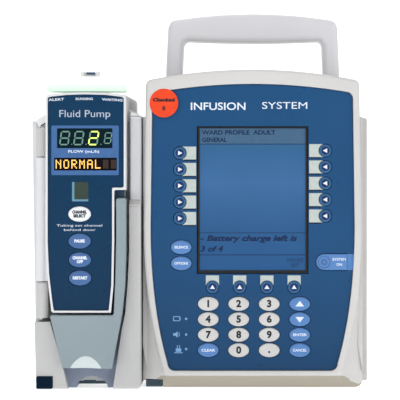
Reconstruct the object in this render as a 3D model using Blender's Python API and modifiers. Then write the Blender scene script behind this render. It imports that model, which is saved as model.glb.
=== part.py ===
"""An infusion pump: a control unit with a keypad and a screen, and a pump module hung on its left side.

Metres, +Z up, the front faces -Y and the origin is under the middle of the whole assembly.
A depth is measured back from the front plane of the control unit's rim, so y = FACE_Y + depth.
x is measured from the middle of the control unit (PC_X) or of the pump module (PUMP_X) where a name says so.
"""

import math

import bmesh
import bpy
from mathutils import Matrix, Vector

# ---------------------------------------------------------------- driving dimensions
FACE_Y = -0.09775
GAP = 0.0003
ARC_STEPS = 4

# The control unit. The shapes are half widths and heights of its front outline.
PC_X = 0.0385
PC_HALF = 0.0865
PC_DEPTH = 0.150
PC_SPLIT = 0.045
PC_WALL = 0.003
WAIST_Z = 0.119
BEND_Z = 0.062
RIM = {"top": 0.0780, "waist": 0.0796, "base": 0.0657, "low": 0.0095, "shoulder": 0.2263, "crown": 0.2333}
BODY = {"top": 0.0782, "waist": 0.0798, "base": 0.0808, "low": 0.0, "shoulder": 0.2263, "crown": 0.2333}
OVERLAY = {"top": 0.0730, "waist": 0.0742, "base": 0.0618, "low": 0.0135, "shoulder": 0.2168, "crown": 0.2225}
COVE_DEPTHS = (0.003, 0.018)
CHIN_BACK = 0.012
RECESS_DEPTH = 0.0050
OVERLAY_FRONT = 0.0020
SCREEN_HALF = 0.0408
SCREEN_Z = (0.0840, 0.1918)
BOARD_DEPTHS = (0.0110, 0.0126)
PC_LATCH_X = (-0.0786, -0.0662)
PC_LATCH_DEPTHS = (0.0120, 0.0300)
PC_LATCH_TOP = 0.0058

# The side interface: a rail down each free side, with a socket in it.
RAIL_TOP = 0.199
RAIL_DEPTHS = (0.048, 0.130)
SOCKET_DEPTH = 0.0040
SOCKET_Z = (0.118, 0.172)
SOCKET_Y = (0.078, 0.098)

# The carrying bail.
HANDLE_FOOT_X = 0.0603
HANDLE_LEG = 0.0125
HANDLE_DEPTHS = (0.068, 0.096)
HANDLE_FOOT_Z = 0.210
HANDLE_BEND_Z = 0.236
HANDLE_TOP = {"half": 0.0646, "radius": 0.0060, "end": 0.2750, "middle": 0.2795}
HANDLE_GRIP = {"half": 0.0531, "radius": 0.0040, "end": 0.2588, "middle": 0.2576}

# The back of the control unit.
SCREW_PLACES = [(PC_X + side * 0.060, z) for side in (-1, 1) for z in (0.060, 0.195)]
SCREW_HOLE_R = 0.0018
INLET = (PC_X - 0.062, PC_X - 0.034, 0.020, 0.041)
INLET_DEPTHS = (0.1300, 0.1495)
CLAMP_Z = (0.092, 0.140)
CLAMP_BACK = 0.205
CLAMP_SCREW_DEPTH = 0.183
CLAMP_PAD_X = (0.0140, 0.0195)

# Keys: half sizes, depths, and where the groups stand from the middle of their unit.
KEY_CLEARANCE = 0.0004
KEY_PROUD = 0.0008
KEY_EDGE = 0.0004
KEY_STEPS = 20
SOFT_KEY = (0.0045, 0.0045)
OVAL_KEY = (0.0076, 0.0051)
PUMP_KEY = (0.0082, 0.0055)
SYSTEM_KEY = (0.0465, 0.0690, 0.0926, 0.0058)
SIDE_KEYS = (0.0532, 0.01195)
SIDE_KEY_TOPS = (0.1723, 0.1741)
BOTTOM_KEYS = (0.0005, 0.0742, 0.0199)
PAD_KEYS = (0.0010, 0.0620, 0.0223, 0.0113)
LEFT_KEYS = (-0.0522, 0.1034, 0.0916)
PC_KEY_BACK = 0.0096
PUMP_KEY_BACK = -0.0010

# The pump module. Its right side is stepped in behind the front, to clear the control unit's rail.
PUMP_X = -0.0825
PUMP_HALF = 0.0395
PUMP_FRONT = -0.0010
PUMP_BACK = 0.125
PUMP_MID = 0.022
PUMP_WALL = 0.003
PUMP_RAIL_HALF = 0.0425
PUMP_RAIL_DEPTHS = (0.048, 0.120)
PUMP_RAIL_TOP = 0.196
PUMP_RAIL_LEAN = 0.0255
PUMP_STEP_X = PC_X - PC_HALF - GAP - PUMP_X
WING_TOP = 0.1990
SHOULDER_TOP = 0.1972
WING_FRONT = 0.006
HEAD_HALF = 0.0292
DOOR_TOP = 0.2165
PUMP_LATCH_X = (-0.0369, -0.0250)
PUMP_LATCH_DEPTHS = (-0.0024, 0.0145)
PUMP_LATCH_TOP = 0.0092

# The door, its hinge and its lever.
DOOR_FRONT = -0.008
DOOR_BACK = 0.020
DOOR_RIM = 0.0016
DOOR_WALL = 0.0034
NOTCH_DEPTH = 0.0050
HINGE_X = -0.0334
HINGE_DEPTH = 0.002
HINGE_R = 0.0037
HINGE_PIN_R = 0.0015
SHROUD_R = 0.0045
KNUCKLES = (0.0514, 0.0784, 0.1694, 0.1910)
LATCH_PIVOT = (0.0000, 0.1350)
LATCH_DEPTHS = (-0.0095, 0.0010)
LENS_FRONT = -0.0070
SCOOP = (-0.0412, -0.0172)
SCOOP_R = 0.0220

# The pumping mechanism.
CHASSIS_DEPTHS = (0.0245, 0.0320)
CHANNEL_HALF = 0.0045
CHANNEL_BACK = 0.0295
GUIDE_TOP = 0.2328
CAM_DEPTH = 0.060
FINGERS = 10
FINGER_PITCH = 0.0055
FINGER_LOW = 0.095
FINGER_FRONT = 0.0268
CAM_THROW = 0.0012
CAM_R = 0.0062
SHAFT_R = 0.0031


def y_at(depth):
    """World y of a depth behind the control unit's front plane."""
    return FACE_Y + depth


# ---------------------------------------------------------------- scene helpers
def start():
    for obj in list(bpy.data.objects):
        bpy.data.objects.remove(obj)
    made = []
    for name in ("infusion_pump", "cutters"):
        group = bpy.data.collections.new(name)
        bpy.context.scene.collection.children.link(group)
        made.append(group)
    return made


PARTS, CUTTERS = start()


def material(name, colour, roughness, metallic=0.0):
    made = bpy.data.materials.new(name)
    made.use_nodes = True
    shader = made.node_tree.nodes["Principled BSDF"]
    shader.inputs["Base Color"].default_value = (*colour, 1.0)
    shader.inputs["Roughness"].default_value = roughness
    shader.inputs["Metallic"].default_value = metallic
    return made


SHELL = material("shell_plastic", (0.62, 0.62, 0.60), 0.45)
NAVY = material("navy_panel", (0.015, 0.070, 0.190), 0.35)
DEEP_NAVY = material("pump_panel", (0.010, 0.040, 0.095), 0.35)
LATCH_GREY = material("latch_plastic", (0.28, 0.36, 0.40), 0.40)
DARK_BLUE = material("dark_blue_plastic", (0.004, 0.018, 0.035), 0.40)
SLATE = material("slate_plastic", (0.055, 0.090, 0.110), 0.45)
KEY_WHITE = material("key_white", (0.58, 0.58, 0.52), 0.50)
KEY_BLUE = material("key_blue", (0.060, 0.150, 0.400), 0.45)
KEY_SOFT = material("soft_key", (0.010, 0.040, 0.120), 0.45)
SCREEN = material("screen", (0.035, 0.120, 0.300), 0.15)
BATTERY = material("battery_wrap", (0.02, 0.02, 0.02), 0.60)
STEEL = material("steel", (0.55, 0.55, 0.56), 0.30, 1.0)
ALLOY = material("cast_alloy", (0.35, 0.35, 0.36), 0.45, 1.0)
BLACK = material("black_plastic", (0.02, 0.02, 0.02), 0.50)
LIGHT = material("status_lens", (0.75, 0.85, 0.78), 0.20)
FRAME_PALE = material("frame_pale", (0.60, 0.61, 0.62), 0.50)


def add(name, mesh, look, group=PARTS):
    obj = bpy.data.objects.new(name, mesh)
    group.objects.link(obj)
    if look is not None:
        mesh.materials.append(look)
    if group is CUTTERS:
        obj.hide_render = True
        obj.display_type = "WIRE"
    return obj


def finish_mesh(name, bm, look, group=PARTS, smooth=30):
    bmesh.ops.recalc_face_normals(bm, faces=bm.faces)
    mesh = bpy.data.meshes.new(name)
    bm.to_mesh(mesh)
    bm.free()
    mesh.shade_smooth()
    mesh.set_sharp_from_angle(angle=math.radians(smooth))
    return add(name, mesh, look, group)


def box(name, low, high, look=None, group=CUTTERS):
    """A box between two corners given as x, depth, z."""
    bm = bmesh.new()
    size = [b - a for a, b in zip(low, high)]
    middle = [(a + b) / 2 for a, b in zip(low, high)]
    place = Matrix.Translation((middle[0], y_at(middle[1]), middle[2])) @ Matrix.Diagonal((*size, 1.0))
    bmesh.ops.create_cube(bm, size=1.0, matrix=place)
    return finish_mesh(name, bm, look, group)


def cylinder(name, start, end, radius, look=None, group=CUTTERS, sides=20, tip=None):
    """A cylinder, or a cone if tip is given, between two points given as x, depth, z."""
    a = Vector((start[0], y_at(start[1]), start[2]))
    b = Vector((end[0], y_at(end[1]), end[2]))
    turn = (b - a).to_track_quat("Z", "Y").to_matrix().to_4x4()
    bm = bmesh.new()
    bmesh.ops.create_cone(
        bm,
        cap_ends=True,
        segments=sides,
        radius1=radius,
        radius2=radius if tip is None else tip,
        depth=(b - a).length,
        matrix=Matrix.Translation((a + b) / 2) @ turn,
    )
    return finish_mesh(name, bm, look, group)


def to_mesh(curve):
    """The curve's evaluated shape as a mesh object, with its caps welded to its sides."""
    bpy.context.view_layer.update()
    graph = bpy.context.evaluated_depsgraph_get()
    mesh = bpy.data.meshes.new_from_object(curve.evaluated_get(graph))
    bm = bmesh.new()
    bm.from_mesh(mesh)
    bmesh.ops.remove_doubles(bm, verts=bm.verts, dist=1e-6)
    bmesh.ops.recalc_face_normals(bm, faces=bm.faces)
    bm.to_mesh(mesh)
    bm.free()
    mesh.set_sharp_from_angle(angle=math.radians(30))
    name, group, place = curve.name, curve.users_collection[0], curve.matrix_world.copy()
    bpy.data.objects.remove(curve)
    obj = add(name, mesh, None, group)
    obj.matrix_world = place
    return obj


def plate(
    name, outline, front, back, look=None, group=PARTS, holes=(), edge=0.0, edge_steps=0, centre_x=0.0
):
    """A flat piece from an outline of x, z points, between two depths, with its edges rounded by edge."""
    curve = bpy.data.curves.new(name, "CURVE")
    curve.dimensions = "2D"
    curve.fill_mode = "BOTH"
    curve.extrude = (back - front) / 2 - edge
    curve.bevel_depth = edge
    curve.bevel_resolution = edge_steps
    curve.offset = -edge
    for ring in (outline, *holes):
        spline = curve.splines.new("POLY")
        spline.points.add(len(ring) - 1)
        for point, (x, z) in zip(spline.points, ring):
            point.co = (x, z, 0.0, 1.0)
        spline.use_cyclic_u = True
    obj = bpy.data.objects.new(name, curve)
    group.objects.link(obj)
    if look is not None:
        curve.materials.append(look)
    obj.location = (centre_x, y_at((front + back) / 2), 0.0)
    obj.rotation_euler = (math.pi / 2, 0.0, 0.0)
    return to_mesh(obj)


def boolean(target, other, operation):
    step = target.modifiers.new(other.name, "BOOLEAN")
    step.operation = operation
    step.object = other
    step.solver = "EXACT"
    return target


def cut(target, *cutters):
    for cutter in cutters:
        boolean(target, cutter, "DIFFERENCE")
    return target


def join(target, *others):
    for other in others:
        boolean(target, other, "UNION")
    return target


# ---------------------------------------------------------------- outlines
def rounded(corners, steps=ARC_STEPS):
    """A closed outline through corners given as x, z, radius, with each corner turned into an arc."""
    points = []
    for i, (x, z, radius) in enumerate(corners):
        here = Vector((x, z))
        if radius == 0:
            points.append((x, z))
            continue
        before = (Vector(corners[i - 1][:2]) - here).normalized()
        after = (Vector(corners[(i + 1) % len(corners)][:2]) - here).normalized()
        half = before.angle(after) / 2
        centre = here + (before + after).normalized() * (radius / math.sin(half))
        first = here + before * (radius / math.tan(half)) - centre
        last = here + after * (radius / math.tan(half)) - centre
        sweep = first.angle_signed(last)
        for k in range(steps + 1):
            turned = first.copy()
            turned.rotate(Matrix.Rotation(-sweep * k / steps, 2))
            points.append(tuple(centre + turned))
    return points


def ellipse(x, z, half_width, half_height, steps=KEY_STEPS):
    """An ellipse as a list of x, z points."""
    turns = [2 * math.pi * k / steps for k in range(steps)]
    return [(x + half_width * math.cos(a), z + half_height * math.sin(a)) for a in turns]


def mirrored(right_half):
    """A right half that ends at the top middle, closed by its mirror image."""
    return right_half + [(-x, z) for x, z in reversed(right_half[:-1])]


def panel_outline(shape, inset=0.0, corner=0.005, centre_x=PC_X):
    """The control unit's front outline: a flat base, sides that bow in below the waist and an arched top."""
    low, shoulder, crown = shape["low"] + inset, shape["shoulder"] - inset, shape["crown"] - inset
    top, waist, base = shape["top"] - inset, shape["waist"] - inset, shape["base"] - inset
    corner = max(corner - inset, 0.0008)
    half = []
    for k in range(ARC_STEPS + 1):
        a = math.pi / 2 * k / ARC_STEPS
        half.append((base - corner + corner * math.sin(a), low + corner - corner * math.cos(a)))
    start, bend, end = Vector((base, low + corner)), Vector((waist, BEND_Z)), Vector((waist, WAIST_Z))
    for k in range(1, 6):
        t = k / 5
        half.append(tuple(start * (1 - t) ** 2 + bend * 2 * t * (1 - t) + end * t * t))
    for k in range(ARC_STEPS + 1):
        a = math.pi / 2 * k / ARC_STEPS
        half.append((top - corner + corner * math.cos(a), shoulder - corner + corner * math.sin(a)))
    for k in range(1, 6):
        x = (top - corner) * (1 - k / 5)
        half.append((x, crown - (crown - shoulder) * (x / (top - corner)) ** 2))
    return [(centre_x + x, z) for x, z in mirrored(half)]


def between(first, second, share):
    """A front outline part of the way from one shape to another."""
    return {key: first[key] + (second[key] - first[key]) * share for key in first}


def loft(name, rings, look, looped, group=PARTS):
    """A skin through rings of depth and outline. It is capped at both ends, or joined end to end if looped."""
    bm = bmesh.new()
    rows = [[bm.verts.new((x, y_at(depth), z)) for x, z in outline] for depth, outline in rings]
    pairs = list(zip(rows, rows[1:]))
    if looped:
        pairs.append((rows[-1], rows[0]))
    for row, following in pairs:
        for i in range(len(row)):
            k = (i + 1) % len(row)
            bm.faces.new((row[i], row[k], following[k], following[i]))
    if not looped:
        bm.faces.new(rows[0])
        bm.faces.new(rows[-1])
    return finish_mesh(name, bm, look, group, smooth=35)


# ---------------------------------------------------------------- control unit
def side_profile(depth):
    """The front case's outline at a depth: the rim, then a cove that spreads out and a chin that drops."""
    front, back = COVE_DEPTHS
    spread = min(max((depth - front) / (back - front), 0.0), 1.0) ** 2
    drop = min(max((depth - front) / (CHIN_BACK - front), 0.0), 1.0)
    shape = between(RIM, BODY, spread)
    shape["low"] = RIM["low"] * (1 - drop)
    return shape


def pc_front_case():
    """A frame round the front panel, which sits in its recess, with the sides and chin behind it."""
    lip, inside = RECESS_DEPTH + GAP, RECESS_DEPTH + GAP + PC_WALL
    rings = [(PC_SPLIT, panel_outline(BODY))]
    rings += [(depth, panel_outline(side_profile(depth))) for depth in (0.018, 0.015, CHIN_BACK, 0.009, 0.006)]
    rings += [
        (0.0035, panel_outline(RIM)),
        (0.0012, panel_outline(RIM, 0.0004)),
        (0.0, panel_outline(RIM, 0.0016)),
        (0.0, panel_outline(OVERLAY, -GAP)),
        (lip, panel_outline(OVERLAY, -GAP)),
        (lip, panel_outline(OVERLAY, PC_WALL)),
        (inside, panel_outline(OVERLAY, PC_WALL)),
        (inside, panel_outline(RIM, PC_WALL)),
        (0.019, panel_outline(side_profile(0.014), PC_WALL)),
        (0.030, panel_outline(BODY, PC_WALL)),
        (PC_SPLIT, panel_outline(BODY, PC_WALL)),
    ]
    case = loft("pc_front_case", rings, SHELL, looped=True)
    low = (PC_X - PC_HALF, 0.0, -0.001)
    high = (PC_X + PC_LATCH_X[1] + GAP, PC_SPLIT - PC_WALL, PC_LATCH_TOP + 0.0004)
    return cut(case, box("pc_latch_pocket", low, high))


def pc_rear_case():
    """An open-fronted shell with a raised rail down each side, which carries the modules."""
    front, back = RAIL_DEPTHS
    rings = [
        (PC_DEPTH, panel_outline(BODY, 0.008, 0.012)),
        (0.1475, panel_outline(BODY, 0.0035, 0.010)),
        (0.141, panel_outline(BODY, 0.0008, 0.006)),
        (back, panel_outline(BODY)),
        (PC_SPLIT + GAP, panel_outline(BODY)),
        (PC_SPLIT + GAP, panel_outline(BODY, PC_WALL)),
        (back, panel_outline(BODY, PC_WALL)),
        (PC_DEPTH - PC_WALL, panel_outline(BODY, 0.0065, 0.012)),
    ]
    case = loft("pc_rear_case", rings, SHELL, looped=False)
    inner = BODY["waist"] - 0.0024
    for side, name in ((-1, "left"), (1, "right")):
        rail = [
            (PC_X + side * inner, 0.0006, 0.0),
            (PC_X + side * PC_HALF, 0.0006, 0.0012),
            (PC_X + side * PC_HALF, RAIL_TOP, 0.0020),
            (PC_X + side * inner, RAIL_TOP, 0.0),
        ]
        join(case, plate(f"rail_{name}", rounded(rail), front, back, group=CUTTERS))
        xs = sorted((PC_X + side * (PC_HALF - SOCKET_DEPTH), PC_X + side * (PC_HALF + 0.001)))
        low = (xs[0], SOCKET_Y[0], SOCKET_Z[0])
        cut(case, box(f"socket_{name}", low, (xs[1], SOCKET_Y[1], SOCKET_Z[1])))
    for side in (-1, 1):
        x = PC_X + side * HANDLE_FOOT_X
        half = HANDLE_LEG / 2 + GAP
        low = (x - half, HANDLE_DEPTHS[0] - GAP, HANDLE_FOOT_Z - 0.010)
        cut(case, box(f"handle_hole_{side}", low, (x + half, HANDLE_DEPTHS[1] + GAP, 0.240)))
    for x, z in SCREW_PLACES:
        cut(case, cylinder("screw_hole", (x, 0.140, z), (x, 0.155, z), SCREW_HOLE_R, sides=12))
    cut(case, box("inlet_hole", (INLET[0], 0.1440, INLET[2]), (INLET[1], 0.160, INLET[3])))
    return case


def bail_edge(shape, leg, toe):
    """Half of one edge of the bail, from the foot of a leg up and round a corner to the middle."""
    half, radius = shape["half"], shape["radius"]
    end, middle = shape["end"], shape["middle"]
    low = end - radius
    points = [(leg, HANDLE_FOOT_Z), (leg, HANDLE_BEND_Z), (half + toe, low)]
    for k in range(1, ARC_STEPS + 1):
        a = math.pi / 2 * k / ARC_STEPS
        points.append((half - radius + radius * math.cos(a), low + radius * math.sin(a)))
    for k in range(1, 7):
        x = (half - radius) * (1 - k / 6)
        points.append((x, middle + (end - middle) * (x / (half - radius)) ** 2))
    return points


def carry_handle():
    """A bail whose grip swells downwards in the middle, on two legs that pass into the rear case."""
    outer = bail_edge(HANDLE_TOP, HANDLE_FOOT_X + HANDLE_LEG / 2, 0.0004)
    inner = bail_edge(HANDLE_GRIP, HANDLE_FOOT_X - HANDLE_LEG / 2, 0.0002)
    outline = mirrored(outer) + [(x, z) for x, z in reversed(mirrored(inner))]
    return plate("carry_handle", outline, *HANDLE_DEPTHS, SHELL, edge=0.0035, edge_steps=1, centre_x=PC_X)


def pc_keys():
    """The control unit's keys, each as name, x from the unit's middle, z, half sizes and look."""
    rows = []
    side_x, side_pitch = SIDE_KEYS
    for i in range(5):
        drop = side_pitch * i
        rows.append((f"soft_key_left_{i + 1}", -side_x, SIDE_KEY_TOPS[0] - drop, SOFT_KEY, KEY_SOFT))
        rows.append((f"soft_key_right_{i + 1}", side_x, SIDE_KEY_TOPS[1] - drop, SOFT_KEY, KEY_SOFT))
    middle, z, pitch = BOTTOM_KEYS
    for i in range(4):
        rows.append((f"soft_key_bottom_{i + 1}", middle + pitch * (i - 1.5), z, SOFT_KEY, KEY_SOFT))
    names = (
        ("key_1", "key_2", "key_3", "key_up"),
        ("key_4", "key_5", "key_6", "key_down"),
        ("key_7", "key_8", "key_9", "key_enter"),
        ("key_clear", "key_0", "key_point", "key_cancel"),
    )
    middle, top, pitch_x, pitch_z = PAD_KEYS
    for r, row in enumerate(names):
        for c, name in enumerate(row):
            look = KEY_BLUE if c == 3 or name == "key_clear" else KEY_WHITE
            rows.append((name, middle + pitch_x * (c - 1.5), top - pitch_z * r, OVAL_KEY, look))
    x, upper, lower = LEFT_KEYS
    rows.append(("key_silence", x, upper, OVAL_KEY, KEY_BLUE))
    rows.append(("key_options", x, lower, OVAL_KEY, KEY_BLUE))
    return rows


def system_key_outline(grow=0.0):
    """A key with one round end and one square end, at the right edge of the panel."""
    left, right, z, radius = SYSTEM_KEY
    r, middle = radius + grow, left + radius
    points = [(right + grow, z - r), (right + grow, z + r)]
    for k in range(ARC_STEPS * 2 + 1):
        a = math.pi / 2 + math.pi * k / (ARC_STEPS * 2)
        points.append((middle + r * math.cos(a), z + r * math.sin(a)))
    return points


def pump_keys():
    x = -0.0046
    return [
        ("key_channel_select", x, 0.1279, PUMP_KEY, KEY_WHITE),
        ("key_pause", x, 0.1083, PUMP_KEY, KEY_BLUE),
        ("key_channel_off", x + 0.0002, 0.0947, PUMP_KEY, KEY_BLUE),
        ("key_restart", x + 0.0003, 0.0815, PUMP_KEY, KEY_BLUE),
    ]


def pc_overlay_and_keys():
    holes = [ellipse(x, z, a + KEY_CLEARANCE, b + KEY_CLEARANCE) for _, x, z, (a, b), _ in pc_keys()]
    holes.append(system_key_outline(KEY_CLEARANCE))
    h, low, high = SCREEN_HALF, SCREEN_Z[0], SCREEN_Z[1]
    holes.append([(-h, low), (h, low), (h, high), (-h, high)])
    outline = panel_outline(OVERLAY, centre_x=0.0)
    plate("pc_overlay", outline, OVERLAY_FRONT, RECESS_DEPTH, NAVY, holes=holes, centre_x=PC_X)
    front = OVERLAY_FRONT - KEY_PROUD
    for name, x, z, (a, b), look in pc_keys():
        plate(name, ellipse(x, z, a, b), front, PC_KEY_BACK, look, edge=KEY_EDGE, centre_x=PC_X)
    plate("key_system_on", system_key_outline(), front, PC_KEY_BACK, KEY_BLUE, edge=KEY_EDGE, centre_x=PC_X)


def display_board():
    """The screen on its circuit board, with the larger components on the back."""
    front, back = BOARD_DEPTHS
    board = plate("display_board", panel_outline(OVERLAY, 0.005), front, back, SCREEN)
    half, low, high = SCREEN_HALF - 0.0004, SCREEN_Z[0] + 0.0004, SCREEN_Z[1] - 0.0004
    join(board, box("screen_block", (PC_X - half, 0.0036, low), (PC_X + half, front + 0.0008, high)))
    # Middle x and z, half width and height, and thickness of each large component.
    components = (
        (-0.030, 0.160, 0.014, 0.014, 0.004),
        (0.022, 0.165, 0.010, 0.020, 0.006),
        (0.000, 0.095, 0.030, 0.008, 0.009),
    )
    for i, (x, z, half, tall, thick) in enumerate(components):
        low = (PC_X + x - half, back - 0.0006, z - tall)
        join(board, box(f"component_{i}", low, (PC_X + x + half, back + thick, z + tall)))
    return board


def battery_pack():
    low, high = (PC_X - 0.055, 0.062, 0.0035), (PC_X + 0.055, 0.104, 0.048)
    pack = box("battery_pack", low, high, BATTERY, PARTS)
    step = pack.modifiers.new("edges", "BEVEL")
    step.width, step.segments = 0.003, 1
    return pack


def side_connector():
    """The contact block at the bottom of the free socket on the right."""
    x = PC_X + PC_HALF - SOCKET_DEPTH + GAP
    low = (x, SOCKET_Y[0] + 0.0015, SOCKET_Z[0] + 0.0015)
    high = (x + 0.0014, SOCKET_Y[1] - 0.0015, SOCKET_Z[1] - 0.0015)
    return box("side_connector", low, high, BLACK, PARTS)


def power_inlet():
    """A mains inlet: a socket in the back wall with three flat pins."""
    left, right, low, high = INLET
    front, back = INLET_DEPTHS
    near, far = (left + GAP, front, low + GAP), (right - GAP, back, high - GAP)
    inlet = box("power_inlet", near, far, BLACK, PARTS)
    mouth_low = (left + 0.002, front + 0.004, low + 0.002)
    cut(inlet, box("inlet_mouth", mouth_low, (right - 0.002, back + 0.010, high - 0.002)))
    middle, centre = (left + right) / 2, (low + high) / 2
    for i, (x, z) in enumerate(((-0.0070, -0.0020), (0.0, 0.0020), (0.0070, -0.0020))):
        pin_low = (middle + x - 0.0010, front + 0.003, centre + z - 0.0020)
        pin_high = (middle + x + 0.0010, front + 0.014, centre + z + 0.0020)
        join(inlet, box(f"inlet_pin_{i}", pin_low, pin_high))
    return inlet


def pole_clamp():
    """A cast bracket that hooks round a pole, and a screw that pushes a pad at it."""
    back, low, high = PC_DEPTH + GAP, *CLAMP_Z
    left, right, root = -0.030, 0.040, back + 0.004
    near, far = (PC_X + left, back, low), (PC_X + right, back + 0.007, high)
    bracket = box("clamp_bracket", near, far, ALLOY, PARTS)
    # The fixed jaw has a vee that centres a pole on the screw.
    jaw = [(left, root), (left, CLAMP_BACK), (-0.016, CLAMP_BACK), (-0.020, 0.192)]
    jaw += [(-0.0245, CLAMP_SCREW_DEPTH), (-0.020, 0.174), (-0.016, 0.166), (-0.020, root)]
    join(bracket, slab("clamp_jaw_arm", [(PC_X + x, depth) for x, depth in jaw], low, high))
    arm = [(0.026, root), (right, root), (right, 0.196), (0.026, 0.196)]
    join(bracket, slab("clamp_screw_arm", [(PC_X + x, depth) for x, depth in arm], low, high))
    z = (low + high) / 2
    near, far = (PC_X + 0.020, CLAMP_SCREW_DEPTH, z), (PC_X + 0.050, CLAMP_SCREW_DEPTH, z)
    cut(bracket, cylinder("clamp_bore", near, far, 0.0044))
    pad_low = (PC_X + CLAMP_PAD_X[0], CLAMP_SCREW_DEPTH - 0.011, z - 0.012)
    pad_high = (PC_X + CLAMP_PAD_X[1], CLAMP_SCREW_DEPTH + 0.011, z + 0.012)
    pad = box("clamp_pad", pad_low, pad_high, BLACK, PARTS)
    step = pad.modifiers.new("edges", "BEVEL")
    step.width, step.segments = 0.0012, 1
    near = (PC_X + CLAMP_PAD_X[1] + GAP, CLAMP_SCREW_DEPTH, z)
    screw = cylinder("clamp_screw", near, (PC_X + 0.068, CLAMP_SCREW_DEPTH, z), 0.0040, STEEL, PARTS)
    lobes, points = 6, 36
    turns = [2 * math.pi * k / points for k in range(points)]
    knob = [(0.0185 + 0.0020 * math.cos(lobes * a), a) for a in turns]
    rings = []
    for x, inset in ((0.0640, 0.0015), (0.0655, 0.0), (0.0790, 0.0), (0.0805, 0.0015)):
        rings.append((PC_X + x, [((r - inset) * math.cos(a), (r - inset) * math.sin(a)) for r, a in knob]))
    join(screw, side_loft("clamp_knob", rings, CLAMP_SCREW_DEPTH, z))


def slab(name, outline, low, high):
    """An upright slab from an outline of x, depth points, between two heights."""
    bm = bmesh.new()
    rows = [[bm.verts.new((x, y_at(depth), z)) for x, depth in outline] for z in (low, high)]
    for i in range(len(outline)):
        k = (i + 1) % len(outline)
        bm.faces.new((rows[0][i], rows[0][k], rows[1][k], rows[1][i]))
    bm.faces.new(rows[0])
    bm.faces.new(rows[1])
    return finish_mesh(name, bm, None, CUTTERS)


def side_loft(name, rings, depth, height):
    """A solid along x through rings of x and depth, z offsets."""
    bm = bmesh.new()
    rows = [[bm.verts.new((x, y_at(depth) + u, height + v)) for u, v in ring] for x, ring in rings]
    for row, following in zip(rows, rows[1:]):
        for i in range(len(row)):
            k = (i + 1) % len(row)
            bm.faces.new((row[i], row[k], following[k], following[i]))
    bm.faces.new(rows[0])
    bm.faces.new(rows[-1])
    return finish_mesh(name, bm, None, CUTTERS)


def pc_release_latch():
    (left, right), (front, back) = PC_LATCH_X, PC_LATCH_DEPTHS
    far = (PC_X + right, back, PC_LATCH_TOP)
    latch = box("pc_release_latch", (PC_X + left, front, GAP), far, SLATE, PARTS)
    step = latch.modifiers.new("edges", "BEVEL")
    step.width, step.segments = 0.0006, 1
    return latch


# ---------------------------------------------------------------- pump module
CASE_OUTLINE = [
    (-PUMP_HALF, 0.0, 0.003), (PUMP_HALF, 0.0, 0.003), (PUMP_HALF, WING_TOP, 0.002),
    (0.0310, 0.2030, 0.002), (HEAD_HALF, 0.2050, 0.0), (HEAD_HALF, 0.2157, 0.004),
    (-HEAD_HALF, 0.2157, 0.004), (-HEAD_HALF, 0.2050, 0.0), (-0.0310, 0.2020, 0.002),
    (-PUMP_HALF, SHOULDER_TOP, 0.003),
]
CAVITY_OUTLINE = [
    (-0.0365, 0.0030, 0.001), (0.0312, 0.0030, 0.001), (0.0312, 0.1935, 0.001), (0.0262, 0.1985, 0.0),
    (0.0262, 0.2110, 0.002), (-0.0262, 0.2110, 0.002), (-0.0262, 0.1985, 0.0), (-0.0365, 0.1930, 0.002),
]
# The space in front of the shell that the door fills, and the lower space that the latch fills.
DOOR_SPACE = [
    (-0.0450, 0.0490, 0.0), (-0.0275, 0.0490, 0.0), (-0.0275, 0.0540, 0.0), (0.0279, 0.0540, 0.0),
    (0.0298, 0.0759, 0.0), (0.0310, 0.1000, 0.0), (0.0310, 0.2250, 0.0), (-0.0450, 0.2250, 0.0),
]
# The right side above the cheek stands back: depth and height of the space in front of it.
WING_SPACE = [
    (-0.0200, 0.1345), (PUMP_FRONT, 0.1345), (0.0045, 0.1380), (WING_FRONT, 0.1380), (WING_FRONT, 0.2250),
    (-0.0200, 0.2250),
]
LATCH_SPACE = [
    (-0.0137, -0.0010, 0.0), (0.0189, -0.0010, 0.0), (0.0256, 0.0438, 0.0), (0.0279, 0.0545, 0.0),
    (-0.0275, 0.0545, 0.0), (-0.0275, 0.0490, 0.0), (-0.0180, 0.0160, 0.0),
]
# The left side below the hinge stands in a little more towards its foot.
CHEEK_STEP = [(-0.0450, -0.0020), (-0.0368, -0.0020), (-0.0385, 0.0560), (-0.0450, 0.0560)]
LATCH_OUTLINE = [
    (0.0220, 0.1395, 0.0015), (0.0220, 0.1080, 0.0), (0.0213, 0.0790, 0.0), (0.0202, 0.0545, 0.002),
    (-0.0262, 0.0545, 0.0015), (-0.0170, 0.0163, 0.0015), (0.0192, 0.0157, 0.0015), (0.0220, 0.0319, 0.0),
    (0.0245, 0.0446, 0.0), (0.0266, 0.0564, 0.0), (0.0286, 0.0759, 0.0), (0.0294, 0.1000, 0.0),
    (0.0294, 0.1395, 0.0015),
]
DOOR_OUTLINE = [
    (-0.0250, 0.0562, 0.002), (0.0272, 0.0562, 0.001), (0.0284, 0.0720, 0.0), (0.0291, 0.1000, 0.0),
    (0.0291, DOOR_TOP - 0.0020, 0.003), (0.0140, DOOR_TOP - 0.0004, 0.0), (0.0, DOOR_TOP, 0.0),
    (-0.0140, DOOR_TOP - 0.0004, 0.0), (-0.0294, DOOR_TOP - 0.0020, 0.003), (-0.0294, 0.1080, 0.0),
    (-0.0284, 0.0850, 0.0), (-0.0262, 0.0661, 0.0),
]
NOTCH = [
    (0.0206, 0.1455, 0.0015), (0.0206, 0.1080, 0.0), (0.0200, 0.0759, 0.0), (0.0182, 0.0562, 0.0),
    (0.0180, 0.0500, 0.0), (0.0400, 0.0500, 0.0), (0.0400, 0.1455, 0.0),
]


# The arch that lets the tube out under the door, about its own middle.
TUBE_EXIT_X = 0.0030
ARCH = [
    (-0.0116, -0.0010), (-0.0100, 0.0040), (-0.0060, 0.0075), (0.0, 0.0085), (0.0060, 0.0075),
    (0.0100, 0.0040), (0.0116, -0.0010),
]


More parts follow.
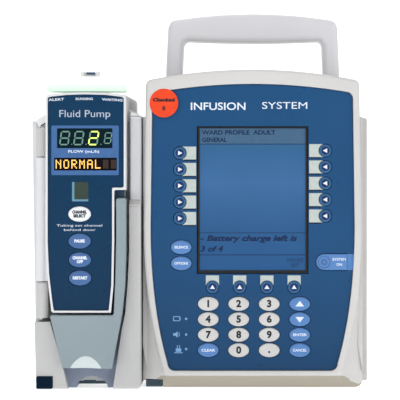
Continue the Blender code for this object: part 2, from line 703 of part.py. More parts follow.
def overlay_outline(inset):
    """The pump's front panel: the door's outline less its rim and less the notch for the latch arm."""
    low, high = 0.0562 + inset, DOOR_TOP - inset
    step = 0.1455 + inset
    return rounded([
        (-0.0250 + inset, low, 0.001),
        (0.0182 - inset, low, 0.001),
        (0.0200 - inset, 0.0759, 0.0),
        (0.0206 - inset, 0.1080, 0.0),
        (0.0206 - inset, step, 0.001),
        (0.0291 - inset, step, 0.0015),
        (0.0291 - inset, high - 0.0020, 0.002),
        (0.0140, high - 0.0004, 0.0),
        (0.0, high, 0.0),
        (-0.0140, high - 0.0004, 0.0),
        (-0.0294 + inset, high - 0.0020, 0.002),
        (-0.0294 + inset, 0.1080, 0.0),
        (-0.0284 + inset, 0.0850, 0.0),
        (-0.0262 + inset, 0.0661, 0.0),
    ])


def scaled(corners, inset):
    """Corner table moved inwards along x and z towards its own middle."""
    xs, zs = [c[0] for c in corners], [c[1] for c in corners]
    cx, cz = (min(xs) + max(xs)) / 2, (min(zs) + max(zs)) / 2
    kx, kz = 1 - 2 * inset / (max(xs) - min(xs)), 1 - 2 * inset / (max(zs) - min(zs))
    return [(cx + (x - cx) * kx, cz + (z - cz) * kz, r) for x, z, r in corners]


def pump_cutter(name, outline, front, back):
    return plate(name, outline, front, back, group=CUTTERS, centre_x=PUMP_X)


def pump_case():
    """The pump's shell, open at the front, with cheeks beside the latch and a hinge column on the left."""
    outline = rounded(CASE_OUTLINE)
    case = plate("pump_case", outline, PUMP_FRONT, PUMP_BACK, SHELL, edge=0.002, centre_x=PUMP_X)
    left, right, step = PUMP_X - PUMP_RAIL_HALF, PUMP_X + PUMP_HALF + 0.001, PUMP_X + PUMP_STEP_X
    front, back = PUMP_RAIL_DEPTHS
    cut(case, pump_cutter("door_space", rounded(DOOR_SPACE), -0.0200, PUMP_MID))
    cut(case, pump_cutter("latch_space", rounded(LATCH_SPACE), -0.0200, 0.0100))
    cut(case, side_loft("wing_space", [(x, WING_SPACE) for x in (PUMP_X + 0.0290, right)], 0.0, 0.0))
    cut(case, box("rail_step", (step, front - 0.0005, -0.001), (right, PUMP_BACK + 0.001, 0.2060)))
    cut(case, pump_cutter("cheek_step", CHEEK_STEP, -0.0200, 0.0195))
    well_low, well_high = (PUMP_X - 0.0250, 0.0130, 0.0030), (PUMP_X + 0.0250, PUMP_MID + 0.002, 0.0600)
    cut(case, box("latch_well", well_low, well_high))
    rail = [(front, 0.0006), (back, 0.0006), (back, PUMP_RAIL_TOP), (front - PUMP_RAIL_LEAN, PUMP_RAIL_TOP)]
    join(case, side_loft("side_rail", [(left, rail), (PUMP_X - PUMP_HALF + 0.001, rail)], 0.0, 0.0))
    x = PUMP_X + HINGE_X
    arm_left, arm_right = x - HINGE_R, x + 0.0022
    for i, (low, high) in enumerate((KNUCKLES[:2], KNUCKLES[2:])):
        low, high = low + GAP, high - GAP
        ends = (x, HINGE_DEPTH, low), (x, HINGE_DEPTH, high)
        join(case, cylinder(f"knuckle_{i}", *ends, HINGE_R, sides=16))
        join(case, box(f"knuckle_arm_{i}", (arm_left, HINGE_DEPTH, low), (arm_right, PUMP_MID + 0.006, high)))
    shroud = (x + 0.0007, HINGE_DEPTH, KNUCKLES[0] + GAP), (x + 0.0007, HINGE_DEPTH, KNUCKLES[1] - GAP)
    join(case, cylinder("knuckle_shroud", *shroud, SHROUD_R, sides=16))
    low = (arm_left + GAP, HINGE_DEPTH + HINGE_R + 0.0005, KNUCKLES[0] + 2 * GAP)
    high = (arm_right - GAP, PUMP_MID + 0.005, KNUCKLES[3] - 2 * GAP)
    join(case, box("hinge_column", low, high))
    cut(case, pump_cutter("cavity", rounded(CAVITY_OUTLINE), PUMP_MID - 0.0020, PUMP_BACK - PUMP_WALL))
    ends = (x, HINGE_DEPTH, 0.045), (x, HINGE_DEPTH, 0.200)
    cut(case, cylinder("pin_bore", *ends, HINGE_PIN_R + GAP, sides=12))
    arch = [(TUBE_EXIT_X + x, z) for x, z in ARCH]
    cut(case, pump_cutter("tube_exit", arch, 0.0040, 0.0330))
    guide_space = [(-0.0075, 0.2080), (0.0075, 0.2080), (0.0075, 0.2200), (-0.0075, 0.2200)]
    cut(case, pump_cutter("guide_notch", guide_space, 0.0150, 0.0330))
    pocket_low = (PUMP_X - PUMP_HALF - 0.001, -0.004, -0.001)
    pocket_high = (PUMP_X + PUMP_LATCH_X[1] + GAP, PUMP_LATCH_DEPTHS[1] + 0.004, PUMP_LATCH_TOP + 0.0004)
    cut(case, box("latch_pocket", pocket_low, pocket_high))
    socket_high = (left + SOCKET_DEPTH, SOCKET_Y[1], SOCKET_Z[1])
    cut(case, box("pump_socket", (left - 0.001, SOCKET_Y[0], SOCKET_Z[0]), socket_high))
    plug_low = (step - 0.002, SOCKET_Y[0] + 0.002, SOCKET_Z[0] + 0.003)
    plug_high = (step + SOCKET_DEPTH - 2 * GAP, SOCKET_Y[1] - 0.002, SOCKET_Z[1] - 0.003)
    return join(case, box("plug", plug_low, plug_high))


def pump_chassis():
    """The mechanism's frame: a face plate with the tube channel, a tube guide and two bearing arms."""
    front, back = CHASSIS_DEPTHS
    outline = rounded(scaled(CAVITY_OUTLINE, GAP))
    frame = plate("pump_chassis", outline, front, back, FRAME_PALE, centre_x=PUMP_X)
    guide = [(-0.0070, 0.2050), (0.0070, 0.2050), (0.0070, GUIDE_TOP), (-0.0070, GUIDE_TOP)]
    join(frame, pump_cutter("guide", guide, front, back))
    low, high = FINGER_LOW - 0.0015, FINGER_LOW + FINGERS * FINGER_PITCH + 0.0005
    for z in (low - 0.008, high + 0.004):
        arm_low = (PUMP_X - 0.009, back - 0.0020, z)
        join(frame, box("bearing_arm", arm_low, (PUMP_X + 0.009, CAM_DEPTH + 0.009, z + 0.004)))
    half = CHANNEL_HALF
    channel = [(-half, -0.001), (half, -0.001), (half, 0.240), (-half, 0.240)]
    cut(frame, pump_cutter("tube_channel", channel, 0.0200, CHANNEL_BACK))
    cut(frame, box("finger_window", (PUMP_X - 0.0080, 0.0200, low), (PUMP_X + 0.0080, 0.0400, high)))
    ends = (PUMP_X, CAM_DEPTH, low - 0.02), (PUMP_X, CAM_DEPTH, high + 0.02)
    return cut(frame, cylinder("cam_bore", *ends, SHAFT_R + GAP, sides=12))


def pump_fingers():
    """Ten flat fingers that squeeze the tube in turn, joined at their tails by a thin web."""
    low, high = FINGER_LOW + 0.0004, FINGER_LOW + FINGERS * FINGER_PITCH - 0.0004
    web_low, web_high = (PUMP_X - 0.0060, 0.0480, low), (PUMP_X + 0.0060, 0.0490, high)
    fingers = box("pump_fingers", web_low, web_high, KEY_WHITE, PARTS)
    for i in range(FINGERS):
        front = FINGER_FRONT - CAM_THROW * math.sin(2 * math.pi * i / FINGERS)
        z = FINGER_LOW + FINGER_PITCH * i + 0.00035
        corner = (PUMP_X + 0.0075, 0.0510, z + FINGER_PITCH - 0.0007)
        join(fingers, box(f"finger_{i}", (PUMP_X - 0.0075, front, z), corner))
    return fingers


def camshaft():
    """A shaft along z with one round cam a finger, each cam off centre and turned on from the last."""
    bm = bmesh.new()
    sides = 12
    turns = [2 * math.pi * k / sides for k in range(sides)]
    rings = [(FINGER_LOW - 0.0120, SHAFT_R, 0.0, 0.0)]
    for i in range(FINGERS):
        z, top = FINGER_LOW + FINGER_PITCH * i, FINGER_LOW + FINGER_PITCH * (i + 1)
        a = 2 * math.pi * i / FINGERS
        dx, dy = CAM_THROW * math.cos(a), CAM_THROW * math.sin(a)
        rings += [(z + 0.0006, SHAFT_R, 0.0, 0.0), (z + 0.0007, CAM_R, dx, dy)]
        rings += [(top - 0.0007, CAM_R, dx, dy), (top - 0.0006, SHAFT_R, 0.0, 0.0)]
    rings.append((FINGER_LOW + FINGERS * FINGER_PITCH + 0.0100, SHAFT_R, 0.0, 0.0))
    rows = []
    for z, radius, dx, dy in rings:
        x, y = PUMP_X + dx, y_at(CAM_DEPTH) + dy
        rows.append([bm.verts.new((x + radius * math.cos(a), y + radius * math.sin(a), z)) for a in turns])
    for row, following in zip(rows, rows[1:]):
        for i in range(sides):
            k = (i + 1) % sides
            bm.faces.new((row[i], row[k], following[k], following[i]))
    bm.faces.new(rows[0])
    bm.faces.new(rows[-1])
    return finish_mesh("camshaft", bm, STEEL)


def drive_motor():
    """A round motor under the camshaft, with a boss that nearly meets it."""
    top, x = FINGER_LOW - 0.0125, PUMP_X
    ends = (x, CAM_DEPTH, 0.034), (x, CAM_DEPTH, top - 0.006)
    motor = cylinder("drive_motor", *ends, 0.0140, STEEL, PARTS, 24)
    ends = (x, CAM_DEPTH, top - 0.008), (x, CAM_DEPTH, top - 0.0004)
    return join(motor, cylinder("motor_boss", *ends, SHAFT_R, sides=12))


def hinge_pin():
    x = PUMP_X + HINGE_X
    ends = (x, HINGE_DEPTH, KNUCKLES[0] - 0.0008), (x, HINGE_DEPTH, KNUCKLES[3] + 0.0008)
    return cylinder("hinge_pin", *ends, HINGE_PIN_R, STEEL, PARTS, 12)


def pump_door():
    """A tray that the front panel closes, narrower at the back so that it swings clear of the shell."""
    outline = rounded(DOOR_OUTLINE)
    door = plate("pump_door", outline, DOOR_FRONT, DOOR_BACK, SHELL, edge=0.0008, centre_x=PUMP_X)
    cut(door, pump_cutter("latch_notch", rounded(NOTCH), -0.0100, NOTCH_DEPTH))
    # Left edge, low and high of the two parts of the back that are cut away.
    for i, (x, low, high) in enumerate(((0.0274, 0.0500, 0.2200), (0.0249, 0.0510, 0.0860))):
        cut(door, box(f"swing_relief_{i}", (PUMP_X + x, 0.0040, low), (PUMP_X + 0.0400, 0.0210, high)))
    cut(door, pump_cutter("panel_recess", overlay_outline(DOOR_RIM), -0.0100, -0.0044))
    cut(door, pump_cutter("door_cavity", overlay_outline(DOOR_WALL), -0.0060, 0.0165))
    x = PUMP_X + HINGE_X
    low, high = KNUCKLES[1] + GAP, KNUCKLES[2] - GAP
    ends = (x, HINGE_DEPTH, low), (x, HINGE_DEPTH, high)
    join(door, cylinder("door_knuckle", *ends, HINGE_R, sides=16))
    web_low, web_high = (x, HINGE_DEPTH - 0.0022, low), (PUMP_X - 0.0280, HINGE_DEPTH + 0.0022, high)
    join(door, box("knuckle_web", web_low, web_high))
    ends = (x, HINGE_DEPTH, 0.070), (x, HINGE_DEPTH, 0.180)
    cut(door, cylinder("door_pin_bore", *ends, HINGE_PIN_R + GAP, sides=12))
    depth, z = LATCH_PIVOT
    pivot = cylinder("pivot_bore", (PUMP_X + 0.0100, depth, z), (PUMP_X + 0.0250, depth, z), 0.0024, sides=12)
    return cut(door, pivot)


def door_overlay():
    """The pump's printed front panel, with its four keys."""
    holes = [ellipse(x, z, a + KEY_CLEARANCE, b + KEY_CLEARANCE) for _, x, z, (a, b), _ in pump_keys()]
    front = DOOR_FRONT + 0.0008
    outline = overlay_outline(DOOR_RIM + GAP)
    plate("door_overlay", outline, front, front + 0.0025, DEEP_NAVY, holes=holes, centre_x=PUMP_X)
    for name, x, z, (a, b), look in pump_keys():
        outline = ellipse(x, z, a, b)
        plate(name, outline, front - KEY_PROUD, PUMP_KEY_BACK, look, edge=KEY_EDGE, centre_x=PUMP_X)


def status_light():
    """The lens on top of the door that glows to show the channel's state."""
    outline = rounded([
        (-0.0285, 0.2169, 0.0014), (0.0285, 0.2169, 0.0014), (0.0285, 0.2220, 0.003), (0.0110, 0.2290, 0.006),
        (-0.0110, 0.2290, 0.006), (-0.0285, 0.2220, 0.003),
    ])
    return plate("status_light", outline, LENS_FRONT, DOOR_BACK, LIGHT, edge=0.0010, centre_x=PUMP_X)


def latch_handle():
    """The door's lever: a paddle below the door with an arm up its side, pivoted in the door."""
    outline = rounded(LATCH_OUTLINE)
    handle = plate("latch_handle", outline, *LATCH_DEPTHS, LATCH_GREY, edge=0.0010, centre_x=PUMP_X)
    depth, z = LATCH_PIVOT
    ends = (PUMP_X + 0.0210, depth, z), (PUMP_X + 0.0295, depth, z)
    join(handle, cylinder("latch_hub", *ends, 0.0040, sides=16))
    ends = (PUMP_X + 0.0145, depth, z), (PUMP_X + 0.0250, depth, z)
    join(handle, cylinder("latch_stub", *ends, 0.0020, sides=12))
    join(handle, box("latch_hook", (PUMP_X - 0.0040, -0.0010, 0.0300), (PUMP_X + 0.0040, 0.0085, 0.0400)))
    ends = (PUMP_X, SCOOP[0], 0.0450), (PUMP_X, SCOOP[1], -0.0150)
    return cut(handle, cylinder("thumb_scoop", *ends, SCOOP_R, sides=48))


def pump_release_latch():
    (left, right), (front, back) = PUMP_LATCH_X, PUMP_LATCH_DEPTHS
    far = (PUMP_X + right, back, PUMP_LATCH_TOP)
    latch = box("pump_release_latch", (PUMP_X + left, front, GAP), far, DARK_BLUE, PARTS)
    step = latch.modifiers.new("edges", "BEVEL")
    step.width, step.segments = 0.0008, 1
    return latch


def main():
    pc_front_case()
    pc_rear_case()
    carry_handle()
    pc_overlay_and_keys()
    display_board()
    battery_pack()
    side_connector()
    power_inlet()
    pole_clamp()
    pc_release_latch()
    pump_case()
    pump_chassis()
    pump_fingers()
    camshaft()
    drive_motor()
    hinge_pin()
    pump_door()
    door_overlay()
    status_light()
    latch_handle()
    pump_release_latch()


main()
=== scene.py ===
import math

import bmesh
import bpy
from mathutils import Matrix, Vector


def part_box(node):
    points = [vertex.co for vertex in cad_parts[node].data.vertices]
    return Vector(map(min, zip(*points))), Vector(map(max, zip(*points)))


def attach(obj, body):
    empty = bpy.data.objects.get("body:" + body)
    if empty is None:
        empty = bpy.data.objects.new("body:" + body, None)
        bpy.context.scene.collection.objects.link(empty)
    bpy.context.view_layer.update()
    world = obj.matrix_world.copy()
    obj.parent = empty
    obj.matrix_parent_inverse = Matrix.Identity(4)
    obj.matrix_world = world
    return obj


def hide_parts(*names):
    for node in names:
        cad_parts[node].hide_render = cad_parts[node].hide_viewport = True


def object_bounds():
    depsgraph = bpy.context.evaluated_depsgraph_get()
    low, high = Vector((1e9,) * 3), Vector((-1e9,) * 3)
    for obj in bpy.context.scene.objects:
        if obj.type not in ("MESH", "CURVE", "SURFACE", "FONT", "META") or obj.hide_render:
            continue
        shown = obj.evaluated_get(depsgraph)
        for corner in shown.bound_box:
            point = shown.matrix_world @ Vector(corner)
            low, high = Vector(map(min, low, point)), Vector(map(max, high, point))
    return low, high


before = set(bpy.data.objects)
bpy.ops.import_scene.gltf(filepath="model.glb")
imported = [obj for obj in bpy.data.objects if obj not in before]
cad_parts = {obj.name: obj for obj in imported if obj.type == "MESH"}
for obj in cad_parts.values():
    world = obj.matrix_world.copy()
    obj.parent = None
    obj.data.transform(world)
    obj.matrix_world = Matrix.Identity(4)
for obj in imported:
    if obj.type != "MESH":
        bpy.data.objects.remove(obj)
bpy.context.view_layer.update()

# ---------------------------------------------------------------- driving dimensions
# Most are part.py's own. The cove behind the panel's front, and the left edges of the places for
# the door and the latch, were set closer to the photograph here.
FACE_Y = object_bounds()[0].y + 0.0095
GAP = 0.0003

PC_X = 0.0385
PC_HALF = 0.0865
PC_DEPTH = 0.150
PC_SPLIT = 0.045
PC_WALL = 0.003
WAIST_Z = 0.119
BEND_Z = 0.062
RIM = {"top": 0.0780, "waist": 0.0796, "base": 0.0657, "low": 0.0095, "shoulder": 0.2263, "crown": 0.2333}
BODY = {"top": 0.0782, "waist": 0.0798, "base": 0.0808, "low": 0.0, "shoulder": 0.2263, "crown": 0.2333}
OVERLAY = {"top": 0.0730, "waist": 0.0742, "base": 0.0618, "low": 0.0135, "shoulder": 0.2168, "crown": 0.2225}
COVE_DEPTHS = (0.003, 0.0125)
CHIN_BACK = 0.012
LIP_X = (0.0775, 0.0808)
RECESS_DEPTH = 0.0050
FILM_FRONT = 0.0020
RAIL_TOP = 0.199
RAIL_DEPTHS = (0.048, 0.130)
SOCKET_DEPTH = 0.0040
SOCKET_Z = (0.118, 0.172)
SOCKET_Y = (0.078, 0.098)
HANDLE_FOOT_X = 0.0603
HANDLE_LEG = 0.0125
HANDLE_DEPTHS = (0.068, 0.096)
HANDLE_FOOT_Z = 0.210
HANDLE_BEND_Z = 0.236
HANDLE_TOP = {"half": 0.0646, "radius": 0.0060, "end": 0.2750, "middle": 0.2795}
HANDLE_GRIP = {"half": 0.0531, "radius": 0.0040, "end": 0.2588, "middle": 0.2576}
SCREW_PLACES = [(PC_X + side * 0.060, z) for side in (-1, 1) for z in (0.060, 0.195)]
INLET = (PC_X - 0.062, PC_X - 0.034, 0.020, 0.041)
SCREEN_HALF = 0.0408
SCREEN_Z = (0.0840, 0.1918)

# Half the width and half the height of each kind of key.
SOFT_KEY = (0.0045, 0.0045)
OVAL_KEY = (0.0076, 0.0051)
PUMP_KEY = (0.0082, 0.0055)
# Left, right, height and end radius.
SYSTEM_KEY = (0.0465, 0.0690, 0.0926, 0.0058)
# Distance from the middle and pitch of the keys beside the screen, and the tops of both columns.
SIDE_KEYS = (0.0532, 0.01195)
SIDE_KEY_TOPS = (0.1723, 0.1741)
# Middle, height and pitch of the keys below the screen.
BOTTOM_KEYS = (0.0005, 0.0742, 0.0199)
# Middle, top row and both pitches of the keypad.
PAD_KEYS = (0.0010, 0.0620, 0.0223, 0.0113)
# Place of the silence and options keys, and both heights.
LEFT_KEYS = (-0.0522, 0.1034, 0.0916)
KEY_BACK = 0.0096
# The pale tabs between the soft keys and the screen: their spans, and half their heights and widths.
SIDE_TABS = (0.0413, 0.0500)
BOTTOM_TABS = (0.0762, 0.0828)
TAB_HALF = 0.0047
TAB_HALF_WIDE = 0.0048
STICKER_AT = (PC_X - 0.0648, 0.2088)

PUMP_X = -0.0825
PUMP_HALF = 0.0395
PUMP_FRONT = -0.0010
PUMP_BACK = 0.125
PUMP_MID = 0.022
PUMP_RAIL_HALF = 0.0425
PUMP_RAIL_DEPTHS = (0.048, 0.120)
PUMP_RAIL_TOP = 0.196
PUMP_RAIL_LEAN = 0.0255
PUMP_STEP_X = PC_X - PC_HALF - GAP - PUMP_X
WING_TOP = 0.1990
SHOULDER_TOP = 0.1972
WING_FRONT = 0.006
HEAD_HALF = 0.0292
DOOR_TOP = 0.2165
DOOR_FRONT = -0.008
DOOR_BACK = 0.020
DOOR_FILM = DOOR_FRONT + 0.0008
HINGE_X = -0.0334
HINGE_DEPTH = 0.002
HINGE_R = 0.0037
HINGE_PIN_R = 0.0015
SHROUD_R = 0.0045
TUBE_EXIT_X = 0.0030
TUBE_EXIT = (0.0116, 0.0095)
KNUCKLES = (0.0514, 0.0784, 0.1694, 0.1910)
# Depth and height of the latch's pivot, and the radii of its pin and its hub.
LATCH_PIVOT = (0.0000, 0.1350)
PIVOT_R = 0.0020
HUB_R = 0.0040
# The latch's thumb scoop: depths of its axis at its upper and lower end, and its radius.
SCOOP = (-0.0412, -0.0172)
SCOOP_R = 0.0220

INK = 0.00003
STEPS = 8
ARCH_STEPS = 14
# Radius and steps of the edge of a printed film.
FILM_EDGE = (0.0002, 1)
# Body, slot, middle and surface of the places that take print.
PANEL = ("pc_unit", "navy_panel", PC_X, FILM_FRONT)
DOOR_PANEL = ("door", "pump_panel", PUMP_X, DOOR_FILM)


def y_at(depth):
    """World y of a depth behind the control unit's front plane."""
    return FACE_Y + depth


# ---------------------------------------------------------------- materials
def srgb(*levels):
    """Linear colour from 8-bit display levels."""
    values = [level / 255 for level in levels]
    return tuple(v / 12.92 if v <= 0.04045 else ((v + 0.055) / 1.055) ** 2.4 for v in values)


def shaded(colour, share):
    """A colour made darker, or lighter where share is above 1."""
    return tuple(min(level * share, 1.0) for level in colour)


class Look:
    """A node material under construction."""

    def __init__(self, name, roughness, metallic=0.0, coat=0.0, coat_roughness=0.1, ior=1.5, specular=0.5):
        self.material = bpy.data.materials.new(name)
        self.material.use_nodes = True
        self.tree = self.material.node_tree
        self.shader = self.tree.nodes["Principled BSDF"]
        self.place = self.tree.nodes.new("ShaderNodeTexCoord").outputs["Object"]
        self.put("Roughness", roughness)
        self.put("Metallic", metallic)
        self.put("Coat Weight", coat)
        self.put("Coat Roughness", coat_roughness)
        self.put("IOR", ior)
        self.put("Specular IOR Level", specular)

    def put(self, socket, value):
        self.shader.inputs[socket].default_value = value

    def link(self, source, target):
        self.tree.links.new(source, target)

    def noise(self, scale, detail=3.0, stretch=None, kind="ShaderNodeTexNoise"):
        node = self.tree.nodes.new(kind)
        node.inputs["Scale"].default_value = scale
        if "Detail" in node.inputs:
            node.inputs["Detail"].default_value = detail
        source = self.place
        if stretch:
            squeeze = self.tree.nodes.new("ShaderNodeMapping")
            squeeze.inputs["Scale"].default_value = stretch
            self.link(source, squeeze.inputs["Vector"])
            source = squeeze.outputs["Vector"]
        self.link(source, node.inputs["Vector"])
        return node.outputs[0]

    def ramp(self, source, *stops):
        node = self.tree.nodes.new("ShaderNodeValToRGB")
        while len(node.color_ramp.elements) < len(stops):
            node.color_ramp.elements.new(0.5)
        for element, (at, colour) in zip(node.color_ramp.elements, stops):
            element.position = at
            element.color = (*colour, 1.0)
        self.link(source, node.inputs["Fac"])
        return node.outputs["Color"]

    def cloud(self, colour, share, noise, low, high):
        """A colour that drifts to a darker share of itself along a noise."""
        return self.ramp(noise, (low, shaded(colour, share)), (high, colour))

    def span(self, source, low, high, out_low=0.0, out_high=1.0):
        node = self.tree.nodes.new("ShaderNodeMapRange")
        sockets = ("From Min", "From Max", "To Min", "To Max")
        for socket, value in zip(sockets, (low, high, out_low, out_high)):
            node.inputs[socket].default_value = value
        self.link(source, node.inputs["Value"])
        return node.outputs["Result"]

    def axis(self, letter):
        node = self.tree.nodes.new("ShaderNodeSeparateXYZ")
        self.link(self.place, node.inputs["Vector"])
        return node.outputs[letter]

    def mix(self, share, first, second, how="MIX"):
        node = self.tree.nodes.new("ShaderNodeMix")
        node.data_type = "RGBA"
        node.blend_type = how
        for socket, value in ((0, share), (6, first), (7, second)):
            if hasattr(value, "is_linked"):
                self.link(value, node.inputs[socket])
            elif socket == 0:
                node.inputs[0].default_value = value
            else:
                node.inputs[socket].default_value = (*value, 1.0)
        return node.outputs[2]

    def colour(self, source):
        if hasattr(source, "is_linked"):
            self.link(source, self.shader.inputs["Base Color"])
        else:
            self.put("Base Color", (*source, 1.0))

    def bump(self, source, distance, strength=1.0):
        node = self.tree.nodes.new("ShaderNodeBump")
        node.inputs["Distance"].default_value = distance
        node.inputs["Strength"].default_value = strength
        earlier = self.shader.inputs["Normal"]
        if earlier.is_linked:
            self.link(earlier.links[0].from_socket, node.inputs["Normal"])
        self.link(source, node.inputs["Height"])
        self.link(node.outputs["Normal"], self.shader.inputs["Normal"])

    def rough(self, source):
        self.link(source, self.shader.inputs["Roughness"])


def moulded(name, colour, roughness=0.45, grain=1500.0, depth=0.00002, tint=0.94, scuff=0.08, specular=0.3):
    """Moulded plastic: a fine spark texture, faint cloudy colour and rubbed edges."""
    look = Look(f"{name}_plastic_textured", roughness, specular=specular)
    cloud = look.cloud(colour, tint, look.noise(14.0, 4.0), 0.30, 0.70)
    edges = look.tree.nodes.new("ShaderNodeNewGeometry").outputs["Pointiness"]
    look.colour(look.mix(look.span(edges, 0.52, 0.62, 0.0, scuff * 4), cloud, shaded(colour, 1.06)))
    look.rough(look.span(look.noise(60.0, 5.0), 0.35, 0.65, roughness - scuff / 2, roughness + scuff / 2))
    look.bump(look.noise(grain, 2.0), depth, 0.6)
    return look.material


# The films darken towards their foot, as in the photograph's light: share of the colour, and heights.
FOOT_SHARE = 0.72
FOOT_HEIGHTS = (0.010, 0.110)


def film(name, colour, roughness=0.32):
    """A printed polyester film: smooth and slightly glossy, with a faint orange peel, and painted shade that
    darkens it towards its foot.
    """
    look = Look(name, roughness, specular=0.15)
    cloud = look.cloud(colour, 0.93, look.noise(9.0, 3.0), 0.35, 0.65)
    foot_shade = look.cloud((1.0, 1.0, 1.0), FOOT_SHARE, look.span(look.axis("Z"), *FOOT_HEIGHTS), 0.0, 1.0)
    look.colour(look.mix(1.0, cloud, foot_shade, "MULTIPLY"))
    look.rough(look.span(look.noise(45.0, 6.0), 0.35, 0.70, roughness - 0.05, roughness + 0.08))
    look.bump(look.noise(420.0, 2.0), 0.00001, 0.5)
    return look.material


def silicone(name, colour, roughness=0.5):
    """A silicone key: soft, slightly dusty rubber."""
    look = Look(name, roughness, specular=0.25)
    look.put("Sheen Weight", 0.05)
    look.colour(look.cloud(colour, 0.93, look.noise(120.0, 4.0), 0.35, 0.68))
    look.bump(look.noise(2400.0, 2.0), 0.00001, 0.6)
    return look.material


def ink(name, colour, roughness=0.4, glow=0.0):
    """Screen-printed ink, or a lit display segment if glow is given."""
    look = Look(name, roughness, specular=0.15)
    look.colour(look.cloud(colour, 0.92, look.noise(300.0, 3.0), 0.30, 0.60))
    look.bump(look.noise(3000.0, 2.0), 0.000005, 0.5)
    if glow:
        look.put("Emission Color", (*colour, 1.0))
        look.put("Emission Strength", glow)
    return look.material


def metal(name, colour, roughness, stretch=None, grain=700.0):
    """Bare metal with a fine grain, drawn out along one way if stretch is given."""
    look = Look(name, roughness, metallic=1.0)
    streak = look.noise(grain, 4.0, stretch)
    look.colour(look.cloud(colour, 0.80, streak, 0.30, 0.70))
    look.rough(look.span(streak, 0.3, 0.7, roughness - 0.08, roughness + 0.12))
    look.bump(streak, 0.00001, 0.5)
    return look.material


def screen_look():
    """The liquid crystal screen: palest above its middle and darker low down."""
    look = Look("screen_crystal", 0.16, coat=0.15, coat_roughness=0.04, specular=0.2)
    height = look.span(look.axis("Z"), SCREEN_Z[0], SCREEN_Z[1])
    low, lower, upper, high = srgb(22, 80, 134), srgb(38, 86, 134), srgb(62, 105, 155), srgb(52, 98, 140)
    field = look.ramp(height, (0.0, low), (0.30, lower), (0.62, upper), (0.9, high))
    cloud = look.ramp(look.noise(22.0, 2.0), (0.30, (0.86, 0.92, 0.92)), (0.70, (1.0, 1.0, 1.0)))
    look.colour(look.mix(0.6, field, cloud, "MULTIPLY"))
    return look.material


def lens_look():
    """The status lens: milky, greener towards its foot, with a faint glow of its own."""
    look = Look("status_lens_milky", 0.22, coat=0.4, coat_roughness=0.08)
    height = look.span(look.axis("Z"), 0.2165, 0.2290)
    foot, middle, top = srgb(196, 230, 204), srgb(230, 243, 235), srgb(248, 250, 248)
    tint = look.ramp(height, (0.0, foot), (0.55, middle), (1.0, top))
    look.colour(tint)
    look.link(tint, look.shader.inputs["Emission Color"])
    look.put("Subsurface Weight", 0.25)
    look.put("Subsurface Radius", (0.004, 0.005, 0.004))
    look.put("Emission Strength", 0.15)
    return look.material


SHELL = moulded("shell", srgb(205, 204, 203))
HANDLE_SHELL = moulded("handle", srgb(216, 215, 219), roughness=0.4)
PUMP_SHELL = moulded("pump_shell", srgb(194, 194, 194))
RIM_WHITE = moulded("door", srgb(221, 222, 225), roughness=0.4)
LATCH_GREY = moulded("latch", srgb(142, 157, 163), roughness=0.42, depth=0.000012)
DARK_BLUE = moulded("dark_blue", srgb(6, 32, 52), roughness=0.5, specular=0.06)
# Slate plastic of the control unit's release latch, also used as painted shade on the pump's shell and latch
# lever.
SLATE_AND_PAINTED_SHADE = moulded("slate", srgb(66, 84, 96), roughness=0.45)
FRAME_PALE = moulded("frame", srgb(238, 240, 240), roughness=0.5)
GUIDE_BLUE = moulded("guide", srgb(70, 92, 128), roughness=0.45)
# Painted highlight for the shell's head behind the door.
HEAD_PAINTED_LIGHT = moulded("head", srgb(248, 248, 248))
# Painted shade for the downward faces of the control unit's chin.
CHIN_PAINTED_SHADE = moulded("base", srgb(166, 161, 148))
# Painted reflection for the latch's thumb scoop.
SCOOP_PAINTED_REFLECTION = moulded("scoop", srgb(206, 216, 217), roughness=0.35, depth=0.000008)
# Painted shade for the gap right of the door, behind the latch arm.
GAP_PAINTED_SHADE = moulded("gap_painted_shade", srgb(20, 22, 26), roughness=0.6, specular=0.05)
# Painted shade for the faces of the door's latch notch.
NOTCH_PAINTED_SHADE = moulded("slot", srgb(80, 106, 130), roughness=0.5, specular=0.05)
# Painted shade for the floor of the recess below the latch.
RECESS_PAINTED_SHADE = moulded("recess", srgb(146, 156, 176), roughness=0.5)
BLACK = moulded("black", srgb(22, 22, 24), roughness=0.5)
NAVY_FILM = film("control_film_navy", srgb(32, 78, 122))
PUMP_FILM = film("pump_film_navy", srgb(12, 54, 86))
KEY_WHITE = silicone("silicone_white", srgb(206, 206, 205))
KEY_BLUE = silicone("silicone_blue", srgb(88, 132, 190))
KEY_PUMP = silicone("silicone_pump_blue", srgb(70, 106, 158))
KEY_PALE = silicone("silicone_bright_white", srgb(236, 238, 244))
KEY_NAVY = silicone("silicone_navy", srgb(18, 44, 92), 0.4)
KEY_RING = silicone("silicone_ring_blue", srgb(50, 100, 145), 0.45)
WHITE_INK = ink("ink_white", srgb(226, 234, 246))
SOFT_INK = ink("ink_soft_blue", srgb(120, 164, 206))
RING_INK = ink("ink_ring_blue", srgb(88, 132, 190))
FIELD_INK = ink("ink_field_blue", srgb(68, 106, 158))
TAB_INK = ink("ink_tab_grey", srgb(188, 197, 193))
BLACK_INK = ink("ink_black", srgb(40, 42, 48))
SCREEN_INK = ink("ink_screen_dark", srgb(22, 42, 78))
SCREEN_PALE = ink("ink_screen_pale", srgb(68, 100, 130))
GREY_INK = ink("ink_grey", srgb(176, 190, 208))
TAB_SHADE = ink("ink_tab_shadow", srgb(26, 44, 66))
STICKER = ink("sticker_orange", srgb(232, 74, 40), 0.35)
WINDOW = ink("window_dark", srgb(8, 30, 38), 0.12)
AMBER_WINDOW = ink("window_amber", srgb(14, 12, 20), 0.12)
LED_OFF = ink("segment_unlit", srgb(110, 150, 140))
LED_ON = ink("segment_lit", srgb(206, 240, 110), glow=0.9)
AMBER_ON = ink("matrix_lit", srgb(250, 190, 96), glow=0.8)
AMBER_OFF = ink("matrix_unlit", srgb(62, 48, 40))
SMALL_LCD = ink("small_lcd", srgb(58, 72, 64), 0.15)
